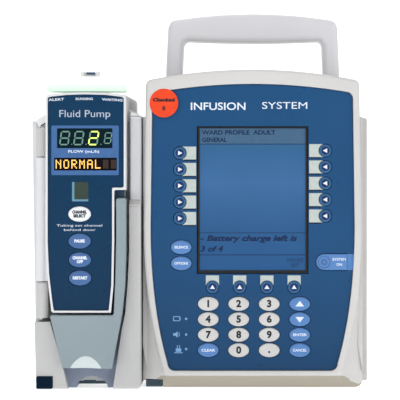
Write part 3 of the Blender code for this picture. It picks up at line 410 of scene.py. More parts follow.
LCD_EDGE = ink("small_lcd_edge", srgb(104, 148, 170), 0.3)
STEEL = metal("steel_ground", (0.58, 0.58, 0.60), 0.30, (1.0, 1.0, 8.0))
ALLOY = metal("alloy_blasted", (0.50, 0.50, 0.52), 0.48)
GOLD = metal("contact_gold", (0.80, 0.62, 0.28), 0.25)
RUBBER = silicone("rubber_black", srgb(30, 30, 32), 0.7)
SCREEN = screen_look()
LENS = lens_look()


# ---------------------------------------------------------------- mesh helpers
def add(name, mesh, look):
    """A new object in the scene with one look."""
    obj = bpy.data.objects.new(name, mesh)
    bpy.context.scene.collection.objects.link(obj)
    mesh.materials.clear()
    if look is not None:
        mesh.materials.append(look)
    return obj


def finish_mesh(name, bm, look, smooth=35):
    bmesh.ops.recalc_face_normals(bm, faces=bm.faces)
    mesh = bpy.data.meshes.new(name)
    bm.to_mesh(mesh)
    bm.free()
    mesh.shade_smooth()
    mesh.set_sharp_from_angle(angle=math.radians(smooth))
    return add(name, mesh, look)


def box(name, low, high, look=None, edge=0.0):
    """A box between two corners given as x, depth, z, with its edges rounded by edge."""
    bm = bmesh.new()
    size = [b - a for a, b in zip(low, high)]
    middle = [(a + b) / 2 for a, b in zip(low, high)]
    place = Matrix.Translation((middle[0], y_at(middle[1]), middle[2])) @ Matrix.Diagonal((*size, 1.0))
    bmesh.ops.create_cube(bm, size=1.0, matrix=place)
    if edge:
        bmesh.ops.bevel(bm, geom=bm.edges[:], offset=edge, segments=3, profile=0.5, affect="EDGES")
    return finish_mesh(name, bm, look)


def cylinder(name, start, end, radius, look=None, sides=48, edge=0.0):
    """A cylinder between two points given as x, depth, z."""
    a = Vector((start[0], y_at(start[1]), start[2]))
    b = Vector((end[0], y_at(end[1]), end[2]))
    turn = (b - a).to_track_quat("Z", "Y").to_matrix().to_4x4()
    place = Matrix.Translation((a + b) / 2) @ turn
    bm = bmesh.new()
    bmesh.ops.create_cone(
        bm, cap_ends=True, segments=sides, radius1=radius, radius2=radius, depth=(b - a).length, matrix=place
    )
    if edge:
        rims = [e for e in bm.edges if any(len(f.verts) > 4 for f in e.link_faces)]
        bmesh.ops.bevel(bm, geom=rims, offset=edge, segments=3, profile=0.5, affect="EDGES")
    return finish_mesh(name, bm, look)


def evaluated_mesh(obj):
    bpy.context.view_layer.update()
    graph = bpy.context.evaluated_depsgraph_get()
    mesh = bpy.data.meshes.new_from_object(obj.evaluated_get(graph))
    mesh.transform(obj.matrix_world)
    return mesh


def flat_curve(outlines, thickness, edge, edge_steps):
    curve = bpy.data.curves.new("outline", "CURVE")
    curve.dimensions = "2D"
    curve.fill_mode = "BOTH"
    curve.extrude = thickness / 2 - edge
    curve.bevel_depth = edge
    curve.bevel_resolution = edge_steps
    curve.offset = -edge
    for ring in outlines:
        spline = curve.splines.new("POLY")
        spline.points.add(len(ring) - 1)
        for point, (x, z) in zip(spline.points, ring):
            point.co = (x, z, 0.0, 1.0)
        spline.use_cyclic_u = True
    return curve


def weld(mesh, distance=1e-6):
    bm = bmesh.new()
    bm.from_mesh(mesh)
    bmesh.ops.remove_doubles(bm, verts=bm.verts, dist=distance)
    bmesh.ops.recalc_face_normals(bm, faces=bm.faces)
    bm.to_mesh(mesh)
    bm.free()
    mesh.shade_smooth()
    mesh.set_sharp_from_angle(angle=math.radians(35))


def plate(name, outline, front, back, look=None, holes=(), edge=0.0, edge_steps=3, centre_x=0.0):
    """A flat piece cut from an outline of x, z points between two depths, with its edges rounded by edge."""
    curve = flat_curve((outline, *holes), back - front, edge, edge_steps if edge else 0)
    shape = bpy.data.objects.new("outline", curve)
    bpy.context.scene.collection.objects.link(shape)
    shape.location = (centre_x, y_at((front + back) / 2), 0.0)
    shape.rotation_euler = (math.pi / 2, 0.0, 0.0)
    mesh = evaluated_mesh(shape)
    bpy.data.objects.remove(shape)
    weld(mesh)
    return add(name, mesh, look)


def boolean(target, operation, *others):
    for other in others:
        step = target.modifiers.new(other.name, "BOOLEAN")
        step.operation = operation
        step.object = other
        step.solver = "EXACT"
    mesh = evaluated_mesh(target)
    target.modifiers.clear()
    looks = list(target.data.materials)
    target.data = mesh
    mesh.materials.clear()
    for look in looks:
        mesh.materials.append(look)
    weld(mesh)
    for other in others:
        bpy.data.objects.remove(other)
    return target


def cut(target, *others):
    return boolean(target, "DIFFERENCE", *others)


def join(target, *others):
    return boolean(target, "UNION", *others)


def soften(obj, width, segments=2, angle=40):
    """Rounded edges, as a modifier. The weld first is for nodes whose faces come in apart."""
    close = obj.modifiers.new("close", "WELD")
    close.merge_threshold = 0.000002
    step = obj.modifiers.new("edges", "BEVEL")
    step.width = width
    step.segments = segments
    step.limit_method = "ANGLE"
    step.angle_limit = math.radians(angle)
    step.use_clamp_overlap = True
    step.harden_normals = False
    return obj


def paint_faces(obj, look, test):
    """A second look on the faces whose middle (x from the pump's middle, depth, z) and normal pass."""
    obj.data.materials.append(look)
    index = len(obj.data.materials) - 1
    for face in obj.data.polygons:
        middle = Vector((face.center.x - PUMP_X, face.center.y - FACE_Y, face.center.z))
        if test(middle, face.normal):
            face.material_index = index


def inside(at, low, high):
    """Whether a place lies between two corners."""
    return all(a < b < c for a, b, c in zip(low, at, high))


def place(piece, body, slot, *nodes):
    """The piece moves with a body and stands for some CAD nodes, which are hidden. The slot is not used."""
    if nodes:
        even = piece.modifiers.new("even", "WEIGHTED_NORMAL")
        even.keep_sharp = True
    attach(piece, body)
    if nodes:
        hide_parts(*nodes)
    return piece


# ---------------------------------------------------------------- outlines
def quarter(steps, first=0):
    """Angles that share out a quarter turn."""
    return [math.pi / 2 * k / steps for k in range(first, steps + 1)]


def rounded(corners, steps=STEPS):
    """A closed outline through corners given as x, z, radius, with each corner turned into an arc."""
    points = []
    for i, (x, z, radius) in enumerate(corners):
        here = Vector((x, z))
        if radius == 0:
            points.append((x, z))
            continue
        before = (Vector(corners[i - 1][:2]) - here).normalized()
        after = (Vector(corners[(i + 1) % len(corners)][:2]) - here).normalized()
        half = before.angle(after) / 2
        centre = here + (before + after).normalized() * (radius / math.sin(half))
        first = here + before * (radius / math.tan(half)) - centre
        last = here + after * (radius / math.tan(half)) - centre
        sweep = first.angle_signed(last)
        for k in range(steps + 1):
            turned = first.copy()
            turned.rotate(Matrix.Rotation(-sweep * k / steps, 2))
            points.append(tuple(centre + turned))
    return points


def ellipse(x, z, half_width, half_height, steps=56):
    turns = [2 * math.pi * k / steps for k in range(steps)]
    return [(x + half_width * math.cos(a), z + half_height * math.sin(a)) for a in turns]


def rectangle(left, right, low, high, radius=0.0):
    corners = ((left, low), (right, low), (right, high), (left, high))
    return rounded([(x, z, radius) for x, z in corners], 4)


def panel_outline(shape, inset=0.0, corner=0.005, centre_x=PC_X, fine=1):
    """The control unit's front outline: a flat base, sides that bow in below the waist and an arched top."""
    low, shoulder, crown = shape["low"] + inset, shape["shoulder"] - inset, shape["crown"] - inset
    top, waist, base = shape["top"] - inset, shape["waist"] - inset, shape["base"] - inset
    corner = max(corner - inset, 0.0008)
    corner_steps, side_steps = 8 * fine, 20 * fine
    half = []
    for a in quarter(corner_steps):
        half.append((base - corner + corner * math.sin(a), low + corner - corner * math.cos(a)))
    start, bend, end = Vector((base, low + corner)), Vector((waist, BEND_Z)), Vector((waist, WAIST_Z))
    for k in range(1, side_steps + 1):
        t = k / side_steps
        half.append(tuple(start * (1 - t) ** 2 + bend * 2 * t * (1 - t) + end * t * t))
    for a in quarter(corner_steps):
        half.append((top - corner + corner * math.cos(a), shoulder - corner + corner * math.sin(a)))
    for k in range(1, side_steps + 1):
        x = (top - corner) * (1 - k / side_steps)
        half.append((x, crown - (crown - shoulder) * (x / (top - corner)) ** 2))
    whole = half + [(-x, z) for x, z in reversed(half[:-1])]
    return [(centre_x + x, z) for x, z in whole]


def between(first, second, share):
    return {key: first[key] + (second[key] - first[key]) * share for key in first}


def skin(name, rings, look=None, looped=False):
    """A skin through rings of x, depth, z points, capped at both ends, or joined end to end if looped."""
    bm = bmesh.new()
    rows = [[bm.verts.new((x, y_at(depth), z)) for x, depth, z in ring] for ring in rings]
    pairs = list(zip(rows, rows[1:]))
    if looped:
        pairs.append((rows[-1], rows[0]))
    for row, following in pairs:
        for i in range(len(row)):
            k = (i + 1) % len(row)
            bm.faces.new((row[i], row[k], following[k], following[i]))
    if not looped:
        bm.faces.new(rows[0])
        bm.faces.new(rows[-1])
    return finish_mesh(name, bm, look)


def loft(name, rings, look, looped=False):
    """A skin through rings given as depth and outline."""
    return skin(name, [[(x, depth, z) for x, z in outline] for depth, outline in rings], look, looped)


# ---------------------------------------------------------------- printing
class Print:
    """Thin printed shapes that share a look and ride on one body, gathered into one piece."""

    def __init__(self, name, look, body, slot, centre_x, surface):
        self.name, self.look, self.body, self.slot = name, look, body, slot
        self.centre_x, self.surface = centre_x, surface
        self.bm = bmesh.new()

    def shape(self, outline, layer=1, holes=()):
        """A flat shape of x, z points, layer sheets of ink above the surface."""
        curve = flat_curve((outline, *holes), INK, 0.0, 0)
        self.stamp(curve, layer)

    def text(self, words, x, z, height, layer=1, width=None, bold=0.0, slant=0.0, align="CENTER", turn=0.0):
        """A line of text centred at x, z (or starting at x), its capitals as tall as height."""
        curve = bpy.data.curves.new("words", "FONT")
        curve.body = words
        curve.align_x = align
        curve.align_y = "CENTER"
        curve.size = height / 0.729
        curve.offset = bold
        curve.shear = slant
        curve.extrude = INK / 2
        curve.resolution_u = 4
        self.stamp(curve, layer, Vector((x, z)), width, turn)

    def stamp(self, curve, layer, at=None, width=None, turn=0.0):
        shape = bpy.data.objects.new("stamp", curve)
        bpy.context.scene.collection.objects.link(shape)
        mesh = evaluated_mesh(shape)
        bpy.data.objects.remove(shape)
        if at is not None:
            xs = [v.co.x for v in mesh.vertices]
            span = max(xs) - min(xs)
            stretch = width / span if width else 1.0
            mesh.transform(Matrix.Diagonal((stretch, 1.0, 1.0, 1.0)))
            mesh.transform(Matrix.Translation((at.x, at.y, 0.0)) @ Matrix.Rotation(turn, 4, "Z"))
        depth = self.surface - INK * (layer - 0.5)
        for v in mesh.vertices:
            v.co = (self.centre_x + v.co.x, y_at(depth - v.co.z), v.co.y)
        self.bm.from_mesh(mesh)
        bpy.data.meshes.remove(mesh)

    def done(self):
        """Every printed shape as one piece."""
        bmesh.ops.remove_doubles(self.bm, verts=self.bm.verts, dist=1e-7)
        place(finish_mesh(self.name, self.bm, self.look), self.body, self.slot)


# ---------------------------------------------------------------- control unit
def side_profile(depth):
    """The front case's outline at a depth: the rim, then a cove that spreads out and a chin that drops."""
    front, back = COVE_DEPTHS
    spread = min(max((depth - front) / (back - front), 0.0), 1.0) ** 2
    drop = min(max((depth - front) / (CHIN_BACK - front), 0.0), 1.0)
    shape = between(RIM, BODY, spread)
    shape["low"] = RIM["low"] * (1 - drop)
    return shape


def arc(radius, steps):
    """Pairs of sine and cosine rises round a quarter circle."""
    return [(radius * (1 - math.sin(a)), radius * (1 - math.cos(a))) for a in quarter(steps)]


def pc_front_shell():
    """The bezel: a rim round the panel, a cove behind it and a thin wall inside."""
    outer_r, inner_r = 0.0024, 0.0007
    cove_front, cove_back, cove_steps = 0.004, 0.020, 16
    wall_front, wall_bend, wall_wide = 0.0083, 0.019, 0.030
    rings = [(PC_SPLIT, panel_outline(BODY, 0.0004)), (PC_SPLIT - 0.0005, panel_outline(BODY))]
    for k in range(cove_steps + 1):
        depth = cove_back - (cove_back - cove_front) * k / cove_steps
        rings.append((depth, panel_outline(side_profile(depth))))
    rings += [(depth, panel_outline(RIM, inset)) for depth, inset in arc(outer_r, 7)]
    for rise, depth in arc(inner_r, 4):
        rings.append((depth, panel_outline(OVERLAY, -GAP - rise)))
    rings += [
        (RECESS_DEPTH + GAP, panel_outline(OVERLAY, -GAP)),
        (RECESS_DEPTH + GAP, panel_outline(OVERLAY, PC_WALL)),
        (wall_front, panel_outline(OVERLAY, PC_WALL)),
        (wall_front, panel_outline(RIM, PC_WALL)),
        (wall_bend, panel_outline(side_profile(0.014), PC_WALL)),
        (wall_wide, panel_outline(BODY, PC_WALL)),
        (PC_SPLIT, panel_outline(BODY, PC_WALL)),
    ]
    shell = loft("pc_front_shell", rings, SHELL, looped=True)
    for side in (-1, 1):
        inner, outer = sorted((PC_X + side * LIP_X[0], PC_X + side * LIP_X[1]))
        lip = [(inner, 0.030, 0.0), (outer, 0.012, 0.0), (outer, RAIL_TOP, 0.0010), (inner, RAIL_TOP, 0.0010)]
        join(shell, plate(f"lip_{side}", rounded(lip), 0.0100, PC_SPLIT - 0.0006, edge=0.0006))
    x, latch = PC_X - PC_HALF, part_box("pc_release_latch")[1]
    cut(shell, box("pocket", (x, 0.0, -0.001), (latch.x + GAP, PC_SPLIT - PC_WALL, latch.z + 0.0004)))
    chin_top, chin_back = 0.0094, 0.0130
    # Painted shade: the chin's downward faces are a darker taupe.
    paint_faces(shell, CHIN_PAINTED_SHADE, lambda at, way: at.z < chin_top and at.y < chin_back and way.z < -0.2)
    return place(shell, "pc_unit", "shell", "pc_front_case")


def pc_rear_shell():
    """The rear case with its rounded back, both rails and the openings in it."""
    back_rise, back_inset, back_steps = PC_DEPTH - RAIL_DEPTHS[1], 0.008, 8
    rings = []
    for a in quarter(back_steps):
        inset = back_inset * (1 - math.sin(a))
        depth = RAIL_DEPTHS[1] + back_rise * math.cos(a)
        rings.append((depth, panel_outline(BODY, inset, 0.005 + inset * 1.6)))
    rings += [
        (PC_SPLIT + GAP + 0.0004, panel_outline(BODY)),
        (PC_SPLIT + GAP, panel_outline(BODY, 0.0004)),
        (PC_SPLIT + GAP, panel_outline(BODY, PC_WALL)),
        (RAIL_DEPTHS[1], panel_outline(BODY, PC_WALL)),
        (0.147, panel_outline(BODY, 0.0115, 0.018)),
    ]
    shell = loft("pc_rear_shell", rings, SHELL)
    for side in (-1, 1):
        inner, outer = PC_X + side * (BODY["waist"] - 0.0024), PC_X + side * PC_HALF
        foot = 0.0006
        rail = [(inner, foot, 0.0), (outer, foot, 0.0012), (outer, RAIL_TOP, 0.0020), (inner, RAIL_TOP, 0.0)]
        join(shell, plate(f"rail_{side}", rounded(rail), *RAIL_DEPTHS, edge=0.0008))
        xs = sorted((PC_X + side * (PC_HALF - SOCKET_DEPTH), PC_X + side * (PC_HALF + 0.001)))
        low, high = (xs[0], SOCKET_Y[0], SOCKET_Z[0]), (xs[1], SOCKET_Y[1], SOCKET_Z[1])
        cut(shell, box("socket", low, high, edge=0.0006))
        for depth in (RAIL_DEPTHS[0] + 0.006, RAIL_DEPTHS[1] - 0.010):
            low, high = (xs[0] + 0.0028, depth, 0.012), (xs[1] + 0.001, depth + 0.003, RAIL_TOP - 0.012)
            cut(shell, box("groove", low, high, edge=0.0005))
        x, half = PC_X + side * HANDLE_FOOT_X, HANDLE_LEG / 2 + GAP
        low = (x - half, HANDLE_DEPTHS[0] - GAP, 0.200)
        cut(shell, box("handle_hole", low, (x + half, HANDLE_DEPTHS[1] + GAP, 0.240), edge=0.003))
    for x, z in SCREW_PLACES:
        cut(shell, cylinder("well", (x, 0.1478, z), (x, 0.155, z), 0.0042, sides=32))
    cut(shell, box("inlet_hole", (INLET[0], 0.1440, INLET[2]), (INLET[1], 0.160, INLET[3])))
    return place(shell, "pc_unit", "shell", "pc_rear_case")


def bail_edge(shape, leg, toe):
    """Half of one edge of the bail, from the foot of a leg up and round a corner to the middle."""
    half, radius = shape["half"], shape["radius"]
    end, middle = shape["end"], shape["middle"]
    low = end - radius
    points = [(leg, HANDLE_FOOT_Z), (leg, HANDLE_BEND_Z), (half + toe, low)]
    for a in quarter(STEPS, 1):
        points.append((half - radius + radius * math.cos(a), low + radius * math.sin(a)))
    for k in range(1, ARCH_STEPS + 1):
        x = (half - radius) * (1 - k / ARCH_STEPS)
        points.append((x, middle + (end - middle) * (x / (half - radius)) ** 2))
    return points + [(-x, z) for x, z in reversed(points[:-1])]


def handle_bail():
    """The carry handle, whose grip swells in the middle."""
    outer = bail_edge(HANDLE_TOP, HANDLE_FOOT_X + HANDLE_LEG / 2, 0.0004)
    inner = bail_edge(HANDLE_GRIP, HANDLE_FOOT_X - HANDLE_LEG / 2, 0.0002)
    outline = outer + [(x, z) for x, z in reversed(inner)]
    depths = HANDLE_DEPTHS
    bail = plate("handle_bail", outline, *depths, HANDLE_SHELL, edge=0.0048, edge_steps=5, centre_x=PC_X)
    return place(bail, "pc_unit", "shell", "carry_handle")


KEY_FRONT = FILM_FRONT - 0.0008
PUMP_KEY_FRONT = DOOR_FILM - 0.0008


def soft_keys():
    """Name, x, z and the way the arrow points."""
    rows = []
    side_x, side_pitch = SIDE_KEYS
    for i in range(5):
        drop = side_pitch * i
        rows.append((f"soft_key_left_{i + 1}", -side_x, SIDE_KEY_TOPS[0] - drop, "right"))
        rows.append((f"soft_key_right_{i + 1}", side_x, SIDE_KEY_TOPS[1] - drop, "left"))
    middle, z, pitch = BOTTOM_KEYS
    for i in range(4):
        rows.append((f"soft_key_bottom_{i + 1}", middle + pitch * (i - 1.5), z, "up"))
    return rows


def pad_keys():
    """Name, x, z and look of the keypad's keys, and of the silence and options keys."""
    rows = []
    names = (
        ("key_1", "key_2", "key_3", "key_up"),
        ("key_4", "key_5", "key_6", "key_down"),
        ("key_7", "key_8", "key_9", "key_enter"),
        ("key_clear", "key_0", "key_point", "key_cancel"),
    )
    middle, top, pitch_x, pitch_z = PAD_KEYS
    for r, row in enumerate(names):
        for c, name in enumerate(row):
            look = KEY_BLUE if c == 3 or name == "key_clear" else KEY_WHITE
            rows.append((name, middle + pitch_x * (c - 1.5), top - pitch_z * r, look))
    x, upper, lower = LEFT_KEYS
    rows.append(("key_silence", x, upper, KEY_BLUE))
    rows.append(("key_options", x, lower, KEY_BLUE))
    return rows


def key_cap(name, x, z, half, front, back, look, slot, centre_x, lip=None):
    """An oval key with a flat top and a soft shoulder. Lip is a radius and the look outside it."""
    a, b = half
    crown, shoulder, flat = 0.00040, 0.0006, 0.74
    shoulder_steps, crown_steps = 4, 6
    rings = [(back, ellipse(x, z, a, b)), (front + crown + shoulder, ellipse(x, z, a, b))]
    for turn in quarter(shoulder_steps, 1):
        inset = shoulder * (1 - math.cos(turn))
        depth = front + crown + shoulder * (1 - math.sin(turn))
        rings.append((depth, ellipse(x, z, a - inset, b - inset)))
    edge = (a - shoulder) / a
    for k in range(1, crown_steps + 1):
        share = edge + (flat - edge) * k / crown_steps
        rings.append((front + crown * (1 - k / crown_steps) ** 2, ellipse(x, z, a * share, b * share)))
    if lip:
        rings.append((front, ellipse(x, z, lip[0], lip[0])))
    moved = [(depth, [(centre_x + px, pz) for px, pz in ring]) for depth, ring in rings]
    cap = loft(f"{name}_cap", moved, look)
    cap.data.set_sharp_from_angle(angle=math.radians(60))
    if lip:
        cap.data.materials.append(lip[1])
        middle = Vector((centre_x + x, z))
        for face in cap.data.polygons:
            across = (Vector((face.center.x, face.center.z)) - middle).length
            face.material_index = 1 if across > lip[0] and len(face.vertices) == 4 else 0
    return place(cap, name, slot, name)


def key_label(name, slot, look, front, centre_x):
    """The print on a key's flat top."""
    return Print(f"{name}_label", look, name, slot, centre_x, front - 0.00001)


ARROWS = {
    "right": [(-0.0013, -0.0017), (0.0019, 0.0), (-0.0013, 0.0017)],
    "left": [(0.0013, -0.0017), (0.0013, 0.0017), (-0.0019, 0.0)],
    "up": [(-0.0019, -0.0012), (0.0019, -0.0012), (0.0, 0.0017)],
    "key_up": [(-0.0032, -0.0018), (0.0032, -0.0018), (0.0, 0.0023)],
    "key_down": [(-0.0032, 0.0018), (0.0, -0.0023), (0.0032, 0.0018)],
}
WORDS = {
    "key_enter": "ENTER", "key_cancel": "CANCEL", "key_clear": "CLEAR", "key_silence": "SILENCE",
    "key_options": "OPTIONS",
}


def control_keys():
    """Every key on the control unit's panel, with its print."""
    for name, x, z, points in soft_keys():
        key_cap(name, x, z, SOFT_KEY, KEY_FRONT, KEY_BACK, KEY_NAVY, "soft_key", PC_X, lip=(0.0030, KEY_RING))
        label = key_label(name, "soft_key", WHITE_INK, KEY_FRONT, PC_X)
        label.shape([(x + px, z + pz) for px, pz in ARROWS[points]])
        label.done()
    for name, x, z, look in pad_keys():
        slot = "key_blue" if look is KEY_BLUE else "key_white"
        key_cap(name, x, z, OVAL_KEY, KEY_FRONT, KEY_BACK, look, slot, PC_X)
        label = key_label(name, slot, WHITE_INK if slot == "key_blue" else BLACK_INK, KEY_FRONT, PC_X)
        if name in ARROWS:
            label.shape([(x + px, z + pz) for px, pz in ARROWS[name]])
        elif name == "key_point":
            label.shape(ellipse(x, z - 0.0012, 0.0008, 0.0008, 24))
        elif name in WORDS:
            label.text(WORDS[name], x, z, 0.0019, width=0.0100, bold=0.00008)
        else:
            label.text(name[-1], x, z, 0.0051, bold=0.00032)
        label.done()
    system_key()


def pill(left, right, z, r, steps=12):
    """An outline with a round left end and a square right end."""
    points = [(right, z - r), (right, z + r)]
    for k in range(steps + 1):
        a = math.pi / 2 + math.pi * k / steps
        points.append((left + r + r * math.cos(a), z + r * math.sin(a)))
    return points


def system_key():
    """The wide key at the panel's right edge, with its two rings and its words."""
    left, right, z, r = SYSTEM_KEY
    outline, ground = pill(left, right, z, r), ("key_system_on", "key_blue", PC_X, KEY_FRONT)
    cap = plate("key_system_on_cap", outline, KEY_FRONT, KEY_BACK, KEY_BLUE, edge=0.0004, centre_x=PC_X)
    place(cap, "key_system_on", "key_blue", "key_system_on")
    dark = Print("key_system_on_ring", KEY_PUMP, *ground)
    x = left + r
    dark.shape(ellipse(x, z, 0.0047, 0.0047), holes=[ellipse(x, z, 0.0039, 0.0039)])
    dark.shape(ellipse(x, z, 0.0024, 0.0024), holes=[ellipse(x, z, 0.0010, 0.0010)])
    dark.done()
    white = Print("key_system_on_label", WHITE_INK, *ground)
    white.text("SYSTEM", x + 0.0110, z + 0.0019, 0.0019, width=0.0098, bold=0.00006)
    white.text("ON", x + 0.0110, z - 0.0019, 0.0019, width=0.0042, bold=0.00006)
    white.done()


def control_film():
    """The printed front panel, with an opening for each key and for the screen."""
    clear, end_clear = 0.0004, 0.0001
    holes = [ellipse(x, z, SOFT_KEY[0] + clear, SOFT_KEY[1] + clear) for _, x, z, _ in soft_keys()]
    holes += [ellipse(x, z, OVAL_KEY[0] + clear, OVAL_KEY[1] + clear) for _, x, z, _ in pad_keys()]
    left, right, z, r = SYSTEM_KEY
    holes.append(pill(left - clear, right + end_clear, z, r + clear))
    holes.append(rectangle(-SCREEN_HALF, SCREEN_HALF, *SCREEN_Z))
    outline = panel_outline(OVERLAY, centre_x=0.0)
    depths = (FILM_FRONT, RECESS_DEPTH)
    sheet = plate("control_film", outline, *depths, NAVY_FILM, holes, *FILM_EDGE, centre_x=PC_X)
    place(sheet, "pc_unit", "navy_panel", "pc_overlay")


def tab(left, right, low, high, key_x, key_z, clear=0.0050, steps=10):
    """A rectangle with the side towards a round key hollowed to follow the key."""
    if left < key_x < right:
        half = right - key_x
        near = [half * (1 - 2 * k / steps) for k in range(steps + 1)]
        lower = [(key_x - x, key_z + math.sqrt(max(clear**2 - x * x, 0.0))) for x in near]
        return [*lower, (right, high), (left, high)]
    half = (high - low) / 2
    side = 1 if right < key_x else -1
    near = [half * (2 * k / steps - 1) for k in range(steps + 1)]
    hollow = [(key_x - side * math.sqrt(max(clear**2 - z * z, 0.0)), key_z + z) for z in near]
    far = left if side == 1 else right
    return [*hollow, (far, high), (far, low)]


def control_print():
    """The tabs beside the soft keys, the panel's words and its three symbols."""
    tabs = Print("panel_tabs", TAB_INK, *PANEL)
    shade = Print("panel_tab_shadows", TAB_SHADE, *PANEL)
    for _, x, z, points in soft_keys():
        if points == "up":
            tabs.shape(tab(x - TAB_HALF_WIDE, x + TAB_HALF_WIDE, *BOTTOM_TABS, x, z))
            continue
        side = 1 if points == "left" else -1
        a, b = sorted((side * SIDE_TABS[0], side * SIDE_TABS[1]))
        tabs.shape(tab(a, b, z - TAB_HALF, z + TAB_HALF, x, z))
        shade.shape(rectangle(a, b, z - TAB_HALF - 0.0011, z - TAB_HALF - 0.0001))
    tabs.done()
    shade.done()
    rings = Print("panel_key_rings", RING_INK, *PANEL)
    _, right, z, r = SYSTEM_KEY
    rings.shape(rectangle(right + 0.0001, 0.0739, z - r, z + r))
    rings.done()
    white = Print("panel_lettering", WHITE_INK, *PANEL)
    white.text("INFUSION", -0.0252, 0.2062, 0.0056, width=0.0400, bold=0.00010)
    white.text("SYSTEM", 0.0236, 0.2068, 0.0052, width=0.0330)
    white.done()
    soft = Print("panel_symbols", SOFT_INK, *PANEL)
    for z in (0.0511, 0.0396, 0.0290):
        soft.shape(ellipse(-0.0486, z, 0.0009, 0.0009, 24))
    # A battery, a speaker and a plug.
    hollow = rectangle(-0.0575, -0.0536, 0.0500, 0.0524)
    soft.shape(rectangle(-0.0581, -0.0530, 0.0494, 0.0530), holes=[hollow])
    soft.shape([
        (-0.0581, 0.0388), (-0.0566, 0.0388), (-0.0548, 0.0374), (-0.0548, 0.0420), (-0.0566, 0.0406),
        (-0.0581, 0.0406),
    ])
    for bar in (
        (-0.0529, -0.0525, 0.0505, 0.0519), (-0.0540, -0.0534, 0.0382, 0.0412),
        (-0.0573, -0.0511, 0.0260, 0.0266), (-0.0562, -0.0522, 0.0270, 0.0296),
        (-0.0553, -0.0547, 0.0299, 0.0318), (-0.0537, -0.0531, 0.0299, 0.0318),
    ):
        soft.shape(rectangle(*bar))
    soft.done()


def screen():
    """The screen's glass in its dark frame, a paler header, ruled lines and words."""
    low, high = SCREEN_Z[0] + 0.0004, SCREEN_Z[1] - 0.0004
    half, seen, front = SCREEN_HALF - 0.0006, SCREEN_HALF - 0.0020, 0.0034
    ground = ("pc_unit", "screen", PC_X, front)
    outline, opening = rectangle(-half, half, low, high), rectangle(-seen, seen, low + 0.0020, high - 0.0010)
    place(plate("screen_glass", outline, front, front + 0.0002, SCREEN, centre_x=PC_X), *ground[:2])
    depths = (0.0026, 0.0033)
    gasket = plate("screen_gasket", outline, *depths, BLACK, [opening], 0.0001, 1, centre_x=PC_X)
    place(gasket, *ground[:2])
    pale = Print("screen_header", SCREEN_PALE, *ground)
    pale.shape(rectangle(-seen, seen, 0.1792, high - 0.0010))
    pale.done()
    dark = Print("screen_text", SCREEN_INK, *ground)
    for line_low, line_high in ((0.1786, 0.1791), (0.1137, 0.1141), (0.0975, 0.0980)):
        dark.shape(rectangle(-seen, seen, line_low, line_high))
    heading = {"bold": 0.00014, "align": "LEFT"}
    message = {"bold": 0.00020, "align": "LEFT", "slant": 0.25}
    for words, x, z, height, width, style in (
        ("WARD PROFILE  ADULT", -0.0370, 0.1872, 0.0032, 0.0540, heading),
        ("GENERAL", -0.0370, 0.1818, 0.0032, 0.0180, heading),
        ("- Battery charge left is", -0.0386, 0.1098, 0.0042, 0.0710, message),
        ("3 of 4", -0.0386, 0.1020, 0.0042, 0.0170, message),
        ("VOLUME", 0.0310, 0.0938, 0.0027, 0.0120, {}),
        ("SET", 0.0310, 0.0900, 0.0027, 0.0060, {}),
    ):
        dark.text(words, x, z, height, layer=2, width=width, **style)
    dark.done()


def sticker():
    """The round sticker at the panel's top left corner, with its words."""
    (x, z), radius, front = STICKER_AT, 0.0105, -0.00012
    disc = plate("round_sticker", ellipse(0.0, 0.0, radius, radius, 64), front, 0.0, STICKER)
    disc.data.transform(Matrix.Translation((x, 0.0, z)))
    place(disc, "pc_unit", "navy_panel")
    words = Print("sticker_print", BLACK_INK, "pc_unit", "navy_panel", x, front)
    words.text("Checked", 0.0, z + 0.0022, 0.0024, width=0.0160, bold=0.00022)
    words.text("8", 0.0, z - 0.0040, 0.0032, bold=0.00015)
    words.done()


# ---------------------------------------------------------------- pump module
CASE_OUTLINE = [
    (-PUMP_HALF, 0.0, 0.003), (PUMP_HALF, 0.0, 0.003), (PUMP_HALF, WING_TOP, 0.002),
    (0.0310, 0.2030, 0.002), (HEAD_HALF, 0.2050, 0.0), (HEAD_HALF, 0.2157, 0.004),
    (-HEAD_HALF, 0.2157, 0.004), (-HEAD_HALF, 0.2050, 0.0), (-0.0310, 0.2020, 0.002),
    (-PUMP_HALF, SHOULDER_TOP, 0.003),
]
CAVITY_OUTLINE = [
    (-0.0365, 0.0030, 0.001), (0.0312, 0.0030, 0.001), (0.0312, 0.1935, 0.001), (0.0262, 0.1985, 0.0),
    (0.0262, 0.2110, 0.002), (-0.0262, 0.2110, 0.002), (-0.0262, 0.1985, 0.0), (-0.0365, 0.1930, 0.002),
]
# The space in front of the shell that the door fills, and the lower space that the latch fills.
DOOR_SPACE = [
    (-0.0450, 0.0490, 0.0), (-0.0268, 0.0490, 0.0), (-0.0268, 0.0540, 0.0), (0.0279, 0.0540, 0.0),
    (0.0298, 0.0759, 0.0), (0.0310, 0.1000, 0.0), (0.0310, 0.2250, 0.0), (-0.0450, 0.2250, 0.0),
]
# In front of everything on the module.
FAR_FRONT = -0.0200
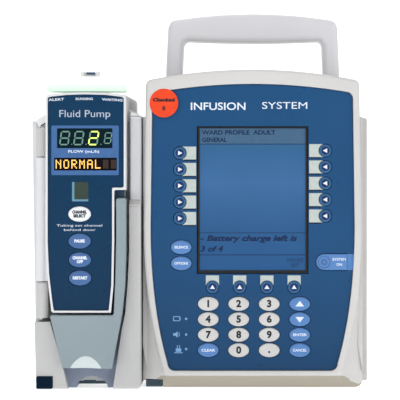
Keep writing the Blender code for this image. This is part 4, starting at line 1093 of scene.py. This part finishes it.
# The right side above the cheek stands back: depth and height of the space in front of it, x, depth and
# radius of the column that stands in it, and depth and height of the slope that ends the column.
WING_SPACE = [
    (FAR_FRONT, 0.1345), (PUMP_FRONT, 0.1345), (0.0045, 0.1380), (0.0105, 0.1380), (0.0105, 0.2250),
    (FAR_FRONT, 0.2250),
]
WING_COLUMN = [
    (0.0310, WING_FRONT, 0.0016), (0.0395, WING_FRONT, 0.0014), (0.0395, 0.0120, 0.0), (0.0310, 0.0120, 0.0),
]
WING_SLOPE = [(0.0030, 0.1975), (0.0100, 0.1997), (0.0180, 0.2030), (0.0180, 0.2100), (0.0030, 0.2100)]
WING_FOOT = 0.1372
LATCH_SPACE = [
    (-0.0137, -0.0010, 0.0), (0.0189, -0.0010, 0.0), (0.0256, 0.0438, 0.0), (0.0279, 0.0545, 0.0),
    (-0.0268, 0.0545, 0.0), (-0.0268, 0.0490, 0.0), (-0.0174, 0.0160, 0.0),
]
LATCH_SPACE_BACK = 0.0100
# The left side below the hinge stands in a little more towards its foot.
CHEEK_STEP = [(-0.0450, -0.0020), (-0.0368, -0.0020), (-0.0385, 0.0560), (-0.0450, 0.0560)]
LATCH_OUTLINE = [
    (0.0220, 0.1395, 0.0015), (0.0220, 0.1080, 0.0), (0.0213, 0.0790, 0.0), (0.0202, 0.0545, 0.002),
    (-0.0262, 0.0545, 0.0015), (-0.0170, 0.0163, 0.0015), (0.0192, 0.0157, 0.0015), (0.0220, 0.0319, 0.0),
    (0.0245, 0.0446, 0.0), (0.0266, 0.0564, 0.0), (0.0286, 0.0759, 0.0), (0.0294, 0.1000, 0.0),
    (0.0294, 0.1395, 0.0015),
]
DOOR_OUTLINE = [
    (-0.0250, 0.0562, 0.002), (0.0272, 0.0562, 0.001), (0.0284, 0.0720, 0.0), (0.0291, 0.1000, 0.0),
    (0.0291, DOOR_TOP - 0.0020, 0.003), (0.0140, DOOR_TOP - 0.0004, 0.0), (0.0, DOOR_TOP, 0.0),
    (-0.0140, DOOR_TOP - 0.0004, 0.0), (-0.0294, DOOR_TOP - 0.0020, 0.003), (-0.0294, 0.1080, 0.0),
    (-0.0284, 0.0850, 0.0), (-0.0262, 0.0661, 0.0),
]
NOTCH = [
    (0.0206, 0.1455, 0.0015), (0.0206, 0.1080, 0.0), (0.0200, 0.0759, 0.0), (0.0182, 0.0562, 0.0),
    (0.0180, 0.0500, 0.0), (0.0400, 0.0500, 0.0), (0.0400, 0.1455, 0.0),
]
NOTCH_DEPTH = 0.0050


def overlay_outline(inset):
    """The pump's front panel: the door's outline less its rim and less the notch for the latch arm."""
    low, high = 0.0562 + inset, DOOR_TOP - inset
    step = 0.1455 + inset
    return rounded([
        (-0.0250 + inset, low, 0.001), (0.0182 - inset, low, 0.001), (0.0200 - inset, 0.0759, 0.0),
        (0.0206 - inset, 0.1080, 0.0), (0.0206 - inset, step, 0.001), (0.0291 - inset, step, 0.0015),
        (0.0291 - inset, high - 0.0020, 0.002), (0.0140, high - 0.0004, 0.0), (0.0, high, 0.0),
        (-0.0140, high - 0.0004, 0.0), (-0.0294 + inset, high - 0.0020, 0.002),
        (-0.0294 + inset, 0.1080, 0.0), (-0.0284 + inset, 0.0850, 0.0), (-0.0262 + inset, 0.0661, 0.0),
    ])


def pump_cut(name, outline, front, back):
    return plate(name, outline, front, back, centre_x=PUMP_X)


def slab(name, outline, low, high):
    """An upright slab from an outline of x, depth points, between two heights."""
    return skin(name, [[(x, depth, z) for x, depth in outline] for z in (low, high)])


def side_slab(name, outline, left, right):
    """A slab along x from an outline of depth, z points."""
    return skin(name, [[(x, depth, z) for depth, z in outline] for x in (left, right)])


SHELL_LEFT = PUMP_X - PUMP_RAIL_HALF
SHELL_STEP = PUMP_X + PUMP_STEP_X
# Just past the shell's right side.
SHELL_RIGHT = PUMP_X + PUMP_HALF + 0.001


def shell_wing(shell):
    """The side above the right cheek: everything in front goes, then a round-edged column comes back."""
    space_left, slope_left = PUMP_X + 0.0290, PUMP_X + 0.0300
    groove_low, groove_high, groove_back = 0.1330, 0.1336, -0.0006
    cut(shell, side_slab("wing_space", WING_SPACE, space_left, SHELL_RIGHT))
    column = [(PUMP_X + x, depth) for x, depth in rounded(WING_COLUMN)]
    join(shell, slab("wing", column, WING_FOOT, WING_TOP))
    cut(shell, side_slab("wing_slope", WING_SLOPE, slope_left, SHELL_RIGHT))
    low, high = (slope_left, -0.002, groove_low), (SHELL_RIGHT, groove_back, groove_high)
    cut(shell, box("cheek_groove", low, high))


def shell_sides(shell):
    """The step for the control unit's rail on the right, and the cheek and the leaning rail on the left."""
    front, back = PUMP_RAIL_DEPTHS
    step_top, cheek_back, rail_foot = 0.2060, 0.0195, 0.0006
    low, high = (SHELL_STEP, front - 0.0005, -0.001), (SHELL_RIGHT, PUMP_BACK + 0.001, step_top)
    cut(shell, box("rail_step", low, high))
    cut(shell, pump_cut("cheek_step", CHEEK_STEP, FAR_FRONT, cheek_back))
    well_half, well_low, well_high, well_front = 0.0250, 0.0030, 0.0600, 0.0130
    low, high = (PUMP_X - well_half, well_front, well_low), (PUMP_X + well_half, PUMP_MID + 0.002, well_high)
    cut(shell, box("well", low, high))
    rail = [
        (front, rail_foot), (back, rail_foot), (back, PUMP_RAIL_TOP), (front - PUMP_RAIL_LEAN, PUMP_RAIL_TOP),
    ]
    join(shell, side_slab("side_rail", rail, SHELL_LEFT, PUMP_X - PUMP_HALF + 0.001))


def shell_hinge(shell):
    """Two knuckles on arms, a shroud round the lower one and a column behind both."""
    x = PUMP_X + HINGE_X
    arm_left, arm_right = x - HINGE_R, x + 0.0022
    for low, high in (KNUCKLES[:2], KNUCKLES[2:]):
        low, high = low + GAP, high - GAP
        join(shell, cylinder("knuckle", (x, HINGE_DEPTH, low), (x, HINGE_DEPTH, high), HINGE_R, edge=0.0006))
        join(shell, box("arm", (arm_left, HINGE_DEPTH, low), (arm_right, PUMP_MID + 0.006, high)))
    middle = x + 0.0007
    ends = (middle, HINGE_DEPTH, KNUCKLES[0] + GAP), (middle, HINGE_DEPTH, KNUCKLES[1] - GAP)
    join(shell, cylinder("shroud", *ends, SHROUD_R, edge=0.0016))
    low = (arm_left + GAP, HINGE_DEPTH + HINGE_R + 0.0005, KNUCKLES[0] + 2 * GAP)
    join(shell, box("column", low, (arm_right - GAP, PUMP_MID + 0.005, KNUCKLES[3] - 2 * GAP)))


def shell_openings(shell):
    """The cavity, the hinge pin's bore, the tube's exit and guide, and the release latch's pocket."""
    x, wall = PUMP_X + HINGE_X, 0.003
    cut(shell, pump_cut("cavity", rounded(CAVITY_OUTLINE), PUMP_MID - 0.0020, PUMP_BACK - wall))
    cut(shell, cylinder("pin_bore", (x, HINGE_DEPTH, 0.045), (x, HINGE_DEPTH, 0.200), HINGE_PIN_R + GAP))
    arch = ellipse(TUBE_EXIT_X, -0.0010, *TUBE_EXIT, 48)[:25]
    cut(shell, pump_cut("tube_exit", arch, 0.0040, 0.0330))
    cut(shell, pump_cut("guide_notch", rectangle(-0.0075, 0.0075, 0.2080, 0.2200), 0.0150, 0.0330))
    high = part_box("pump_release_latch")[1]
    edge, depth, top = high.x + GAP, high.y - FACE_Y + 0.004, high.z + 0.0004
    cut(shell, box("latch_pocket", (PUMP_X - PUMP_HALF - 0.001, -0.004, -0.001), (edge, depth, top)))


def shell_connectors(shell):
    """A socket in the left rail, and a plug at the right that goes into the control unit's rail."""
    low = (SHELL_LEFT - 0.001, SOCKET_Y[0], SOCKET_Z[0])
    high = (SHELL_LEFT + SOCKET_DEPTH, SOCKET_Y[1], SOCKET_Z[1])
    cut(shell, box("mouth", low, high))
    low = (SHELL_STEP - 0.002, SOCKET_Y[0] + 0.002, SOCKET_Z[0] + 0.003)
    high = (SHELL_STEP + SOCKET_DEPTH - 2 * GAP, SOCKET_Y[1] - 0.002, SOCKET_Z[1] - 0.003)
    join(shell, box("plug", low, high, edge=0.0005))


def pump_shell():
    """The module's shell, open at the front for the door and the latch, and the liner of the tube guide."""
    outline = rounded(CASE_OUTLINE)
    shell = plate("pump_shell", outline, PUMP_FRONT, PUMP_BACK, PUMP_SHELL, edge=0.002, centre_x=PUMP_X)
    cut(shell, pump_cut("door_space", rounded(DOOR_SPACE), FAR_FRONT, PUMP_MID))
    cut(shell, pump_cut("latch_space", rounded(LATCH_SPACE), FAR_FRONT, LATCH_SPACE_BACK))
    shell_wing(shell)
    shell_sides(shell)
    shell_hinge(shell)
    shell_openings(shell)
    shell_connectors(shell)
    paint_shell(shell)
    soften(shell, 0.0005)
    place(shell, "pump_module", "shell", "pump_case")
    low, high = (PUMP_X - 0.0030, 0.0283, 0.2310), (PUMP_X + 0.0035, 0.0293, 0.2327)
    place(box("tube_guide_liner", low, high, GUIDE_BLUE, 0.0003), "pump_module", "frame_pale")


def paint_shell(shell):
    """The light and shade of the shell's faces, as the photograph shows them."""
    behind_arm = (0.0, -0.0006, 0.0165), (0.0312, 0.0221, 0.1460)
    behind_latch = (-0.0340, 0.0102, 0.0001), (0.0340, 0.1000, 0.0620)
    # Painted shade: the faces in the gap right of the door, behind the latch arm, are near black.
    paint_faces(shell, GAP_PAINTED_SHADE, lambda at, _: inside(at, *behind_arm))
    # Painted shade: the faces inside the arch behind the latch take the dark slate look.
    paint_faces(shell, SLATE_AND_PAINTED_SHADE, lambda at, _: inside(at, *behind_latch))
    rail_x, rail_depth, wing_x, wing_back = -0.0380, 0.0200, 0.0290, 0.0130
    # Painted highlight: the left rail's front faces and the wing column's faces take the door's lighter
    # white.
    paint_faces(shell, RIM_WHITE, lambda at, way: way.y < -0.2 and at.x < rail_x and at.y > rail_depth)
    paint_faces(shell, RIM_WHITE, lambda at, _: at.x > wing_x and at.z > WING_FOOT and at.y < wing_back)
    head_foot, head_depth, arch_top = 0.1955, 0.0010, 0.0540
    # Painted highlight: the head's front faces behind the door are made near white.
    paint_faces(shell, HEAD_PAINTED_LIGHT, lambda at, way: way.y < -0.1 and at.z > head_foot and at.y > head_depth)
    recess = (-PUMP_HALF, LATCH_SPACE_BACK - 0.0005, -0.001), (PUMP_HALF, LATCH_SPACE_BACK + 0.0005, arch_top)
    # Painted shade: the recess floor below the latch is a darker grey-blue.
    paint_faces(shell, RECESS_PAINTED_SHADE, lambda at, way: way.y < -0.9 and inside(at, *recess))


def door_shell():
    """The door: a tray with a recess for its panel, a notch for the latch's arm and a hinge barrel."""
    outline = rounded(DOOR_OUTLINE)
    door = plate("door_shell", outline, DOOR_FRONT, DOOR_BACK, RIM_WHITE, edge=0.0008, centre_x=PUMP_X)
    cut(door, pump_cut("latch_notch", rounded(NOTCH), -0.0100, NOTCH_DEPTH))
    # Room for the swing at the right, behind the rim.
    relief_front, relief_back, relief_right = 0.0040, 0.0210, PUMP_X + 0.0400
    for x, low, high in ((0.0274, 0.0500, 0.2200), (0.0249, 0.0510, 0.0860)):
        cut(door, box("relief", (PUMP_X + x, relief_front, low), (relief_right, relief_back, high)))
    cut(door, pump_cut("panel_recess", overlay_outline(0.0016), -0.0100, -0.0044))
    cut(door, pump_cut("door_cavity", overlay_outline(0.0034), -0.0060, 0.0165))
    x = PUMP_X + HINGE_X
    low, high = KNUCKLES[1] + GAP, KNUCKLES[2] - GAP
    join(door, cylinder("barrel", (x, HINGE_DEPTH, low), (x, HINGE_DEPTH, high), HINGE_R, edge=0.0006))
    join(door, box("web", (x, HINGE_DEPTH - 0.0022, low), (PUMP_X - 0.0280, HINGE_DEPTH + 0.0022, high)))
    cut(door, cylinder("door_pin_bore", (x, HINGE_DEPTH, 0.070), (x, HINGE_DEPTH, 0.180), HINGE_PIN_R + GAP))
    depth, z = LATCH_PIVOT
    ends = (PUMP_X + 0.0100, depth, z), (PUMP_X + 0.0250, depth, z)
    cut(door, cylinder("pivot_bore", *ends, PIVOT_R + 0.0004))
    # Painted shade: the faces in and round the latch notch are a darker blue-grey.
    slot = (0.0170, -0.0072, 0.0), (PUMP_HALF, 0.0055, 0.1460)
    paint_faces(door, NOTCH_PAINTED_SHADE, lambda at, _: inside(at, *slot))
    soften(door, 0.0003)
    return place(door, "door", "shell", "pump_door")


# Name, x, z, look and words of each key on the door.
PUMP_KEYS = (
    ("key_channel_select", -0.0046, 0.1279, KEY_PALE, ("CHANNEL", "SELECT")),
    ("key_pause", -0.0046, 0.1083, KEY_PUMP, ("PAUSE",)),
    ("key_channel_off", -0.0044, 0.0947, KEY_PUMP, ("CHANNEL", "OFF")),
    ("key_restart", -0.0043, 0.0815, KEY_PUMP, ("RESTART",)),
)


def door_film():
    """The door's printed panel and its four keys."""
    clear = 0.0004
    holes = [ellipse(x, z, PUMP_KEY[0] + clear, PUMP_KEY[1] + clear) for _, x, z, _, _ in PUMP_KEYS]
    outline, back = overlay_outline(0.0016 + GAP), DOOR_FILM + 0.0025
    sheet = plate("door_film", outline, DOOR_FILM, back, PUMP_FILM, holes, *FILM_EDGE, centre_x=PUMP_X)
    place(sheet, "door", "pump_panel", "door_overlay")
    for name, x, z, look, words in PUMP_KEYS:
        slot = "key_white" if look is KEY_PALE else "key_blue"
        key_cap(name, x, z, PUMP_KEY, PUMP_KEY_FRONT, -0.0010, look, slot, PUMP_X)
        label = key_label(name, slot, BLACK_INK if look is KEY_PALE else WHITE_INK, PUMP_KEY_FRONT, PUMP_X)
        for i, word in enumerate(words):
            at = z + 0.0014 * (len(words) - 1) - 0.0028 * i
            label.text(word, x, at, 0.0021, width=0.00152 * len(word), bold=0.00020)
        label.done()


# The bars of a seven-segment digit, from end to end on a grid two wide and two tall.
SEGMENTS = {
    "a": ((-1, 1), (1, 1)), "b": ((1, 1), (1, 0)), "c": ((1, 0), (1, -1)), "d": ((-1, -1), (1, -1)),
    "e": ((-1, 0), (-1, -1)), "f": ((-1, 1), (-1, 0)), "g": ((-1, 0), (1, 0)),
}


def segment(start, end, thick, x, z, half_w, half_h, slant):
    """One bar of a slanted seven-segment digit, pointed at both ends."""
    a = Vector((start[0] * half_w, start[1] * half_h))
    b = Vector((end[0] * half_w, end[1] * half_h))
    along = (b - a).normalized()
    across = Vector((-along.y, along.x)) * thick / 2
    a, b = a + along * thick * 0.30, b - along * thick * 0.30
    inner = along * thick / 2
    corners = [a, a + inner + across, b - inner + across, b, b - inner - across, a + inner - across]
    return [(x + p.x + p.y * slant, z + p.y) for p in corners]


def digit(printer_on, printer_off, lit, x, z, half_w, half_h, thick=0.0010, slant=0.14):
    """A seven-segment digit, with the named bars in one print and the others in another."""
    for name, (start, end) in SEGMENTS.items():
        printer = printer_on if name in lit else printer_off
        printer.shape(segment(start, end, thick, x, z, half_w, half_h, slant), layer=3)


# Letters as seven rows of five dots, each row a binary number.
FONT_5X7 = {
    "N": (17, 25, 21, 19, 17, 17, 17), "O": (14, 17, 17, 17, 17, 17, 14), "R": (30, 17, 17, 30, 20, 18, 17),
    "M": (17, 27, 21, 21, 17, 17, 17), "A": (14, 17, 17, 31, 17, 17, 17), "L": (16, 16, 16, 16, 16, 16, 31),
    "#": (31, 31, 31, 31, 31, 31, 31),
}


def matrix_cell(printer, rows, x, z, pitch_x, pitch_z):
    """A dot matrix character: each row is five bits, top row first."""
    for r, bits in enumerate(rows):
        for c in range(5):
            if bits >> (4 - c) & 1:
                px, pz = x + (c - 2) * pitch_x, z + (3 - r) * pitch_z
                half_x, half_z = pitch_x * 0.46, pitch_z * 0.46
                printer.shape(rectangle(px - half_x, px + half_x, pz - half_z, pz + half_z), layer=3)


# Name, look, layer, and left, right, low, high and radius of the door's windows and fields.
DOOR_FIELDS = (
    ("pump_field", FIELD_INK, 1, (-0.0251, 0.0238, 0.1562, 0.1922, 0.0010)),
    ("rate_window", WINDOW, 2, (-0.0210, 0.0192, 0.1758, 0.1902, 0.0003)),
    ("name_window", AMBER_WINDOW, 2, (-0.0231, 0.0224, 0.1596, 0.1688, 0.0003)),
    ("small_lcd_rim", LCD_EDGE, 1, (-0.0101, 0.0017, 0.1372, 0.1512, 0.0004)),
    ("small_lcd_face", SMALL_LCD, 2, (-0.0084, 0.0017, 0.1386, 0.1512, 0.0003)),
)


def door_print():
    """The door's windows with their digits and dots, and its words."""
    for name, look, layer, corners in DOOR_FIELDS:
        field = Print(name, look, *DOOR_PANEL)
        field.shape(rectangle(*corners), layer)
        field.done()
    off = Print("rate_segments_unlit", LED_OFF, *DOOR_PANEL)
    lit = Print("rate_segments_lit", LED_ON, *DOOR_PANEL)
    middle = 0.1831
    for x, on in ((-0.0154, ""), (-0.0052, ""), (0.0056, "abged")):
        digit(lit, off, on, x, middle, 0.0030, 0.0047)
    digit(lit, off, "", 0.0160, middle, 0.0023, 0.0038, thick=0.0008)
    for x in (-0.0103, -0.0000, 0.0109):
        off.shape(ellipse(x, 0.1786, 0.0004, 0.0004, 16), layer=3)
    off.done()
    lit.done()
    amber = Print("name_matrix_lit", AMBER_ON, *DOOR_PANEL)
    dim = Print("name_matrix_unlit", AMBER_OFF, *DOOR_PANEL)
    for i, letter in enumerate("NORMAL##"):
        printer = dim if letter == "#" else amber
        matrix_cell(printer, FONT_5X7[letter], -0.0200 + 0.00572 * i, 0.1642, 0.00080, 0.00092)
    amber.done()
    dim.done()
    white = Print("pump_lettering", WHITE_INK, *DOOR_PANEL)
    for word, x, z, width, turn in (
        ("ALERT", -0.0215, 0.2110, 0.0112, 0.05), ("RUNNING", -0.0012, 0.2115, 0.0124, 0.0),
        ("WAITING", 0.0192, 0.2108, 0.0150, -0.05),
    ):
        white.text(word, x, z, 0.0018, width=width, bold=0.00005, turn=turn)
    white.text("FLOW (mL/h)", -0.0016, 0.1733, 0.0019, width=0.0225, layer=2, bold=0.00005)
    white.text("Tubing set channel", -0.0046, 0.1196, 0.0017, width=0.0330)
    white.text("behind door", -0.0046, 0.1164, 0.0017, width=0.0230)
    white.done()
    grey = Print("pump_title", GREY_INK, *DOOR_PANEL)
    grey.text("Fluid Pump", -0.0010, 0.2006, 0.0054, width=0.0370)
    grey.done()


def status_lens():
    """The light on top of the door."""
    outline = rounded([
        (-0.0285, 0.2169, 0.0014), (0.0285, 0.2169, 0.0014), (0.0285, 0.2220, 0.003), (0.0110, 0.2278, 0.009),
        (-0.0110, 0.2278, 0.009), (-0.0285, 0.2220, 0.003),
    ])
    depths = (DOOR_FRONT + 0.0010, DOOR_BACK)
    lens = plate("status_lens_cap", outline, *depths, LENS, edge=0.0013, edge_steps=4, centre_x=PUMP_X)
    return place(lens, "door", "status_lens", "status_light")


def latch_lever():
    """The latch handle: a paddle with a thumb scoop and an arm up the door's right side."""
    outline, depths = rounded(LATCH_OUTLINE), (-0.0095, 0.0010)
    lever = plate("latch_lever", outline, *depths, LATCH_GREY, edge=0.0010, edge_steps=4, centre_x=PUMP_X)
    depth, z = LATCH_PIVOT
    join(lever, cylinder("latch_hub", (PUMP_X + 0.0210, depth, z), (PUMP_X + 0.0295, depth, z), HUB_R))
    join(lever, cylinder("latch_stub", (PUMP_X + 0.0145, depth, z), (PUMP_X + 0.0250, depth, z), PIVOT_R))
    join(lever, box("latch_hook", (PUMP_X - 0.0040, -0.0010, 0.0300), (PUMP_X + 0.0040, 0.0085, 0.0400)))
    ends = (PUMP_X, SCOOP[0], 0.0450), (PUMP_X, SCOOP[1], -0.0150)
    cut(lever, cylinder("scoop", *ends, SCOOP_R, sides=128))
    # Painted reflection: the scoop's curved faces take a paler look, standing for the pale floor below.
    lever.data.materials.append(SCOOP_PAINTED_REFLECTION)
    start = Vector((ends[0][0], y_at(ends[0][1]), ends[0][2]))
    along = (Vector((ends[1][0], y_at(ends[1][1]), ends[1][2])) - start).normalized()
    for face in lever.data.polygons:
        away = face.center - start
        scooped = (away - along * away.dot(along)).length < SCOOP_R + 0.0002
        face.material_index = 1 if scooped and abs(face.normal.dot(along)) < 0.1 else 0
    # Painted shade: the right-facing sides of the lever's arm, in the gap beside the cheek, take the dark
    # slate look.
    paint_faces(lever, SLATE_AND_PAINTED_SHADE, lambda at, way: way.x > 0.7 and at.x > 0.0190 and at.y > -0.0086)
    soften(lever, 0.0003)
    return place(lever, "latch", "latch_plastic", "latch_handle")


def release_latch(name, piece, look, slot, edge, lines, line):
    """A latch block in its CAD node's box, with grip lines across its front."""
    low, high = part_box(name)
    front = low.y - FACE_Y
    block = box(piece, (low.x, front, low.z), (high.x, high.y - FACE_Y, high.z), look, edge)
    for rise in lines:
        corner = (high.x - 0.002, front + 0.0005, low.z + rise + line)
        cut(block, box("grip", (low.x + 0.002, front - 0.001, low.z + rise), corner))
    place(block, name, slot, name)


def release_latches():
    lines = (0.0022, 0.0038, 0.0054, 0.0070)
    release_latch(
        "pump_release_latch", "pump_release_block", DARK_BLUE, "dark_blue_plastic", 0.0009, lines, 0.0006
    )
    lines = (0.0014, 0.0026, 0.0038)
    release_latch("pc_release_latch", "pc_release_block", SLATE_AND_PAINTED_SHADE, "slate_plastic", 0.0007, lines, 0.0005)


# ---------------------------------------------------------------- CAD nodes that stay
# Look and edge radius of each node that is shown as the CAD has it.
KEPT_NODES = {
    "display_board": (BLACK, 0.0002), "battery_pack": (BLACK, 0.0008), "clamp_bracket": (ALLOY, 0.0010),
    "power_inlet": (BLACK, 0.0003), "side_connector": (GOLD, 0.0002), "clamp_pad": (RUBBER, 0.0004),
    "clamp_screw": (STEEL, 0.0004), "pump_chassis": (FRAME_PALE, 0.0004), "pump_fingers": (KEY_PALE, 0.0003),
    "camshaft": (STEEL, 0.0002), "drive_motor": (STEEL, 0.0005), "hinge_pin": (STEEL, 0.0002),
}


def dress_frame():
    for node, (look, edge) in KEPT_NODES.items():
        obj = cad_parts[node]
        obj.data.materials.clear()
        obj.data.materials.append(look)
        soften(obj, edge)


def case_screws():
    """Cross-head screws in the wells of the rear case."""
    for i, (x, z) in enumerate(SCREW_PLACES):
        head = cylinder(f"case_screw_{i + 1}", (x, 0.1470, z), (x, 0.1495, z), 0.0034, STEEL, edge=0.0006)
        slots = [
            box("slot", (x - 0.0022, 0.1486, z - 0.0004), (x + 0.0022, 0.1500, z + 0.0004)),
            box("slot", (x - 0.0004, 0.1486, z - 0.0022), (x + 0.0004, 0.1500, z + 0.0022)),
        ]
        cut(head, *slots)
        place(head, "pc_unit", "steel")


# ---------------------------------------------------------------- studio
# Place, size and power of each lamp.
LAMPS = {
    "key_light": ((-0.7, -1.3, 1.3), 1.2, 12.0),
    "fill_light": ((1.1, -1.2, 0.7), 1.2, 7.0),
    "top_light": ((0.0, 0.2, 1.6), 1.4, 7.5),
    "back_light": ((0.2, 1.2, 1.2), 1.0, 4.0),
}


def backdrop():
    """A sheet of pale paper that lies on the floor and curves up into a wall."""
    front, wall, radius, half_width, top, steps = -5.0, 2.6, 0.8, 6.0, 5.0, 12
    sweep = [(front, 0.0), (wall - radius, 0.0)]
    for a in quarter(steps, 1):
        sweep.append((wall - radius + radius * math.sin(a), radius - radius * math.cos(a)))
    sweep.append((wall, top))
    bm = bmesh.new()
    rows = [[bm.verts.new((x, y, z)) for y, z in sweep] for x in (-half_width, half_width)]
    for i in range(len(sweep) - 1):
        bm.faces.new((rows[0][i], rows[1][i], rows[1][i + 1], rows[0][i + 1]))
    paper = Look("backdrop_paper", 0.9)
    paper.colour(srgb(252, 252, 252))
    paper.put("Emission Color", (1.0, 1.0, 1.0, 1.0))
    paper.put("Emission Strength", 0.60)
    finish_mesh("backdrop", bm, paper.material, smooth=60)


def studio():
    backdrop()
    world = bpy.data.worlds.new("studio")
    bpy.context.scene.world = world
    world.use_nodes = True
    sky = world.node_tree.nodes["Background"]
    sky.inputs["Color"].default_value = (1.0, 1.0, 1.0, 1.0)
    sky.inputs["Strength"].default_value = 0.24
    aim = Vector((0.0, 0.0, 0.12))
    for name, (at, size, power) in LAMPS.items():
        light = bpy.data.lights.new(name, "AREA")
        light.size = size
        light.energy = power
        lamp = bpy.data.objects.new(name, light)
        bpy.context.scene.collection.objects.link(lamp)
        lamp.location = at
        lamp.rotation_euler = (aim - Vector(at)).to_track_quat("-Z", "Y").to_euler()
    bpy.context.scene.view_settings.view_transform = "Standard"


def camera():
    """A camera on the unit's right half, looking straight back, with its picture shifted onto the whole."""
    distance, width, sensor = 1.35, 0.292, 36.0
    x, z = 0.040, 0.165
    middle_x, middle_z = 0.0001, 0.138
    data = bpy.data.cameras.new("camera")
    data.lens = sensor * distance / width
    data.shift_x = (middle_x - x) / width
    data.shift_y = (middle_z - z) / width
    lens = bpy.data.objects.new("camera", data)
    bpy.context.scene.collection.objects.link(lens)
    lens.location = (x, FACE_Y - distance, z)
    lens.rotation_euler = (math.pi / 2, 0.0, 0.0)
    bpy.context.scene.camera = lens


def main():
    camera()
    studio()
    pc_front_shell()
    pc_rear_shell()
    handle_bail()
    control_film()
    control_print()
    screen()
    sticker()
    control_keys()
    pump_shell()
    door_shell()
    door_film()
    door_print()
    status_lens()
    latch_lever()
    release_latches()
    dress_frame()
    case_screws()


main()
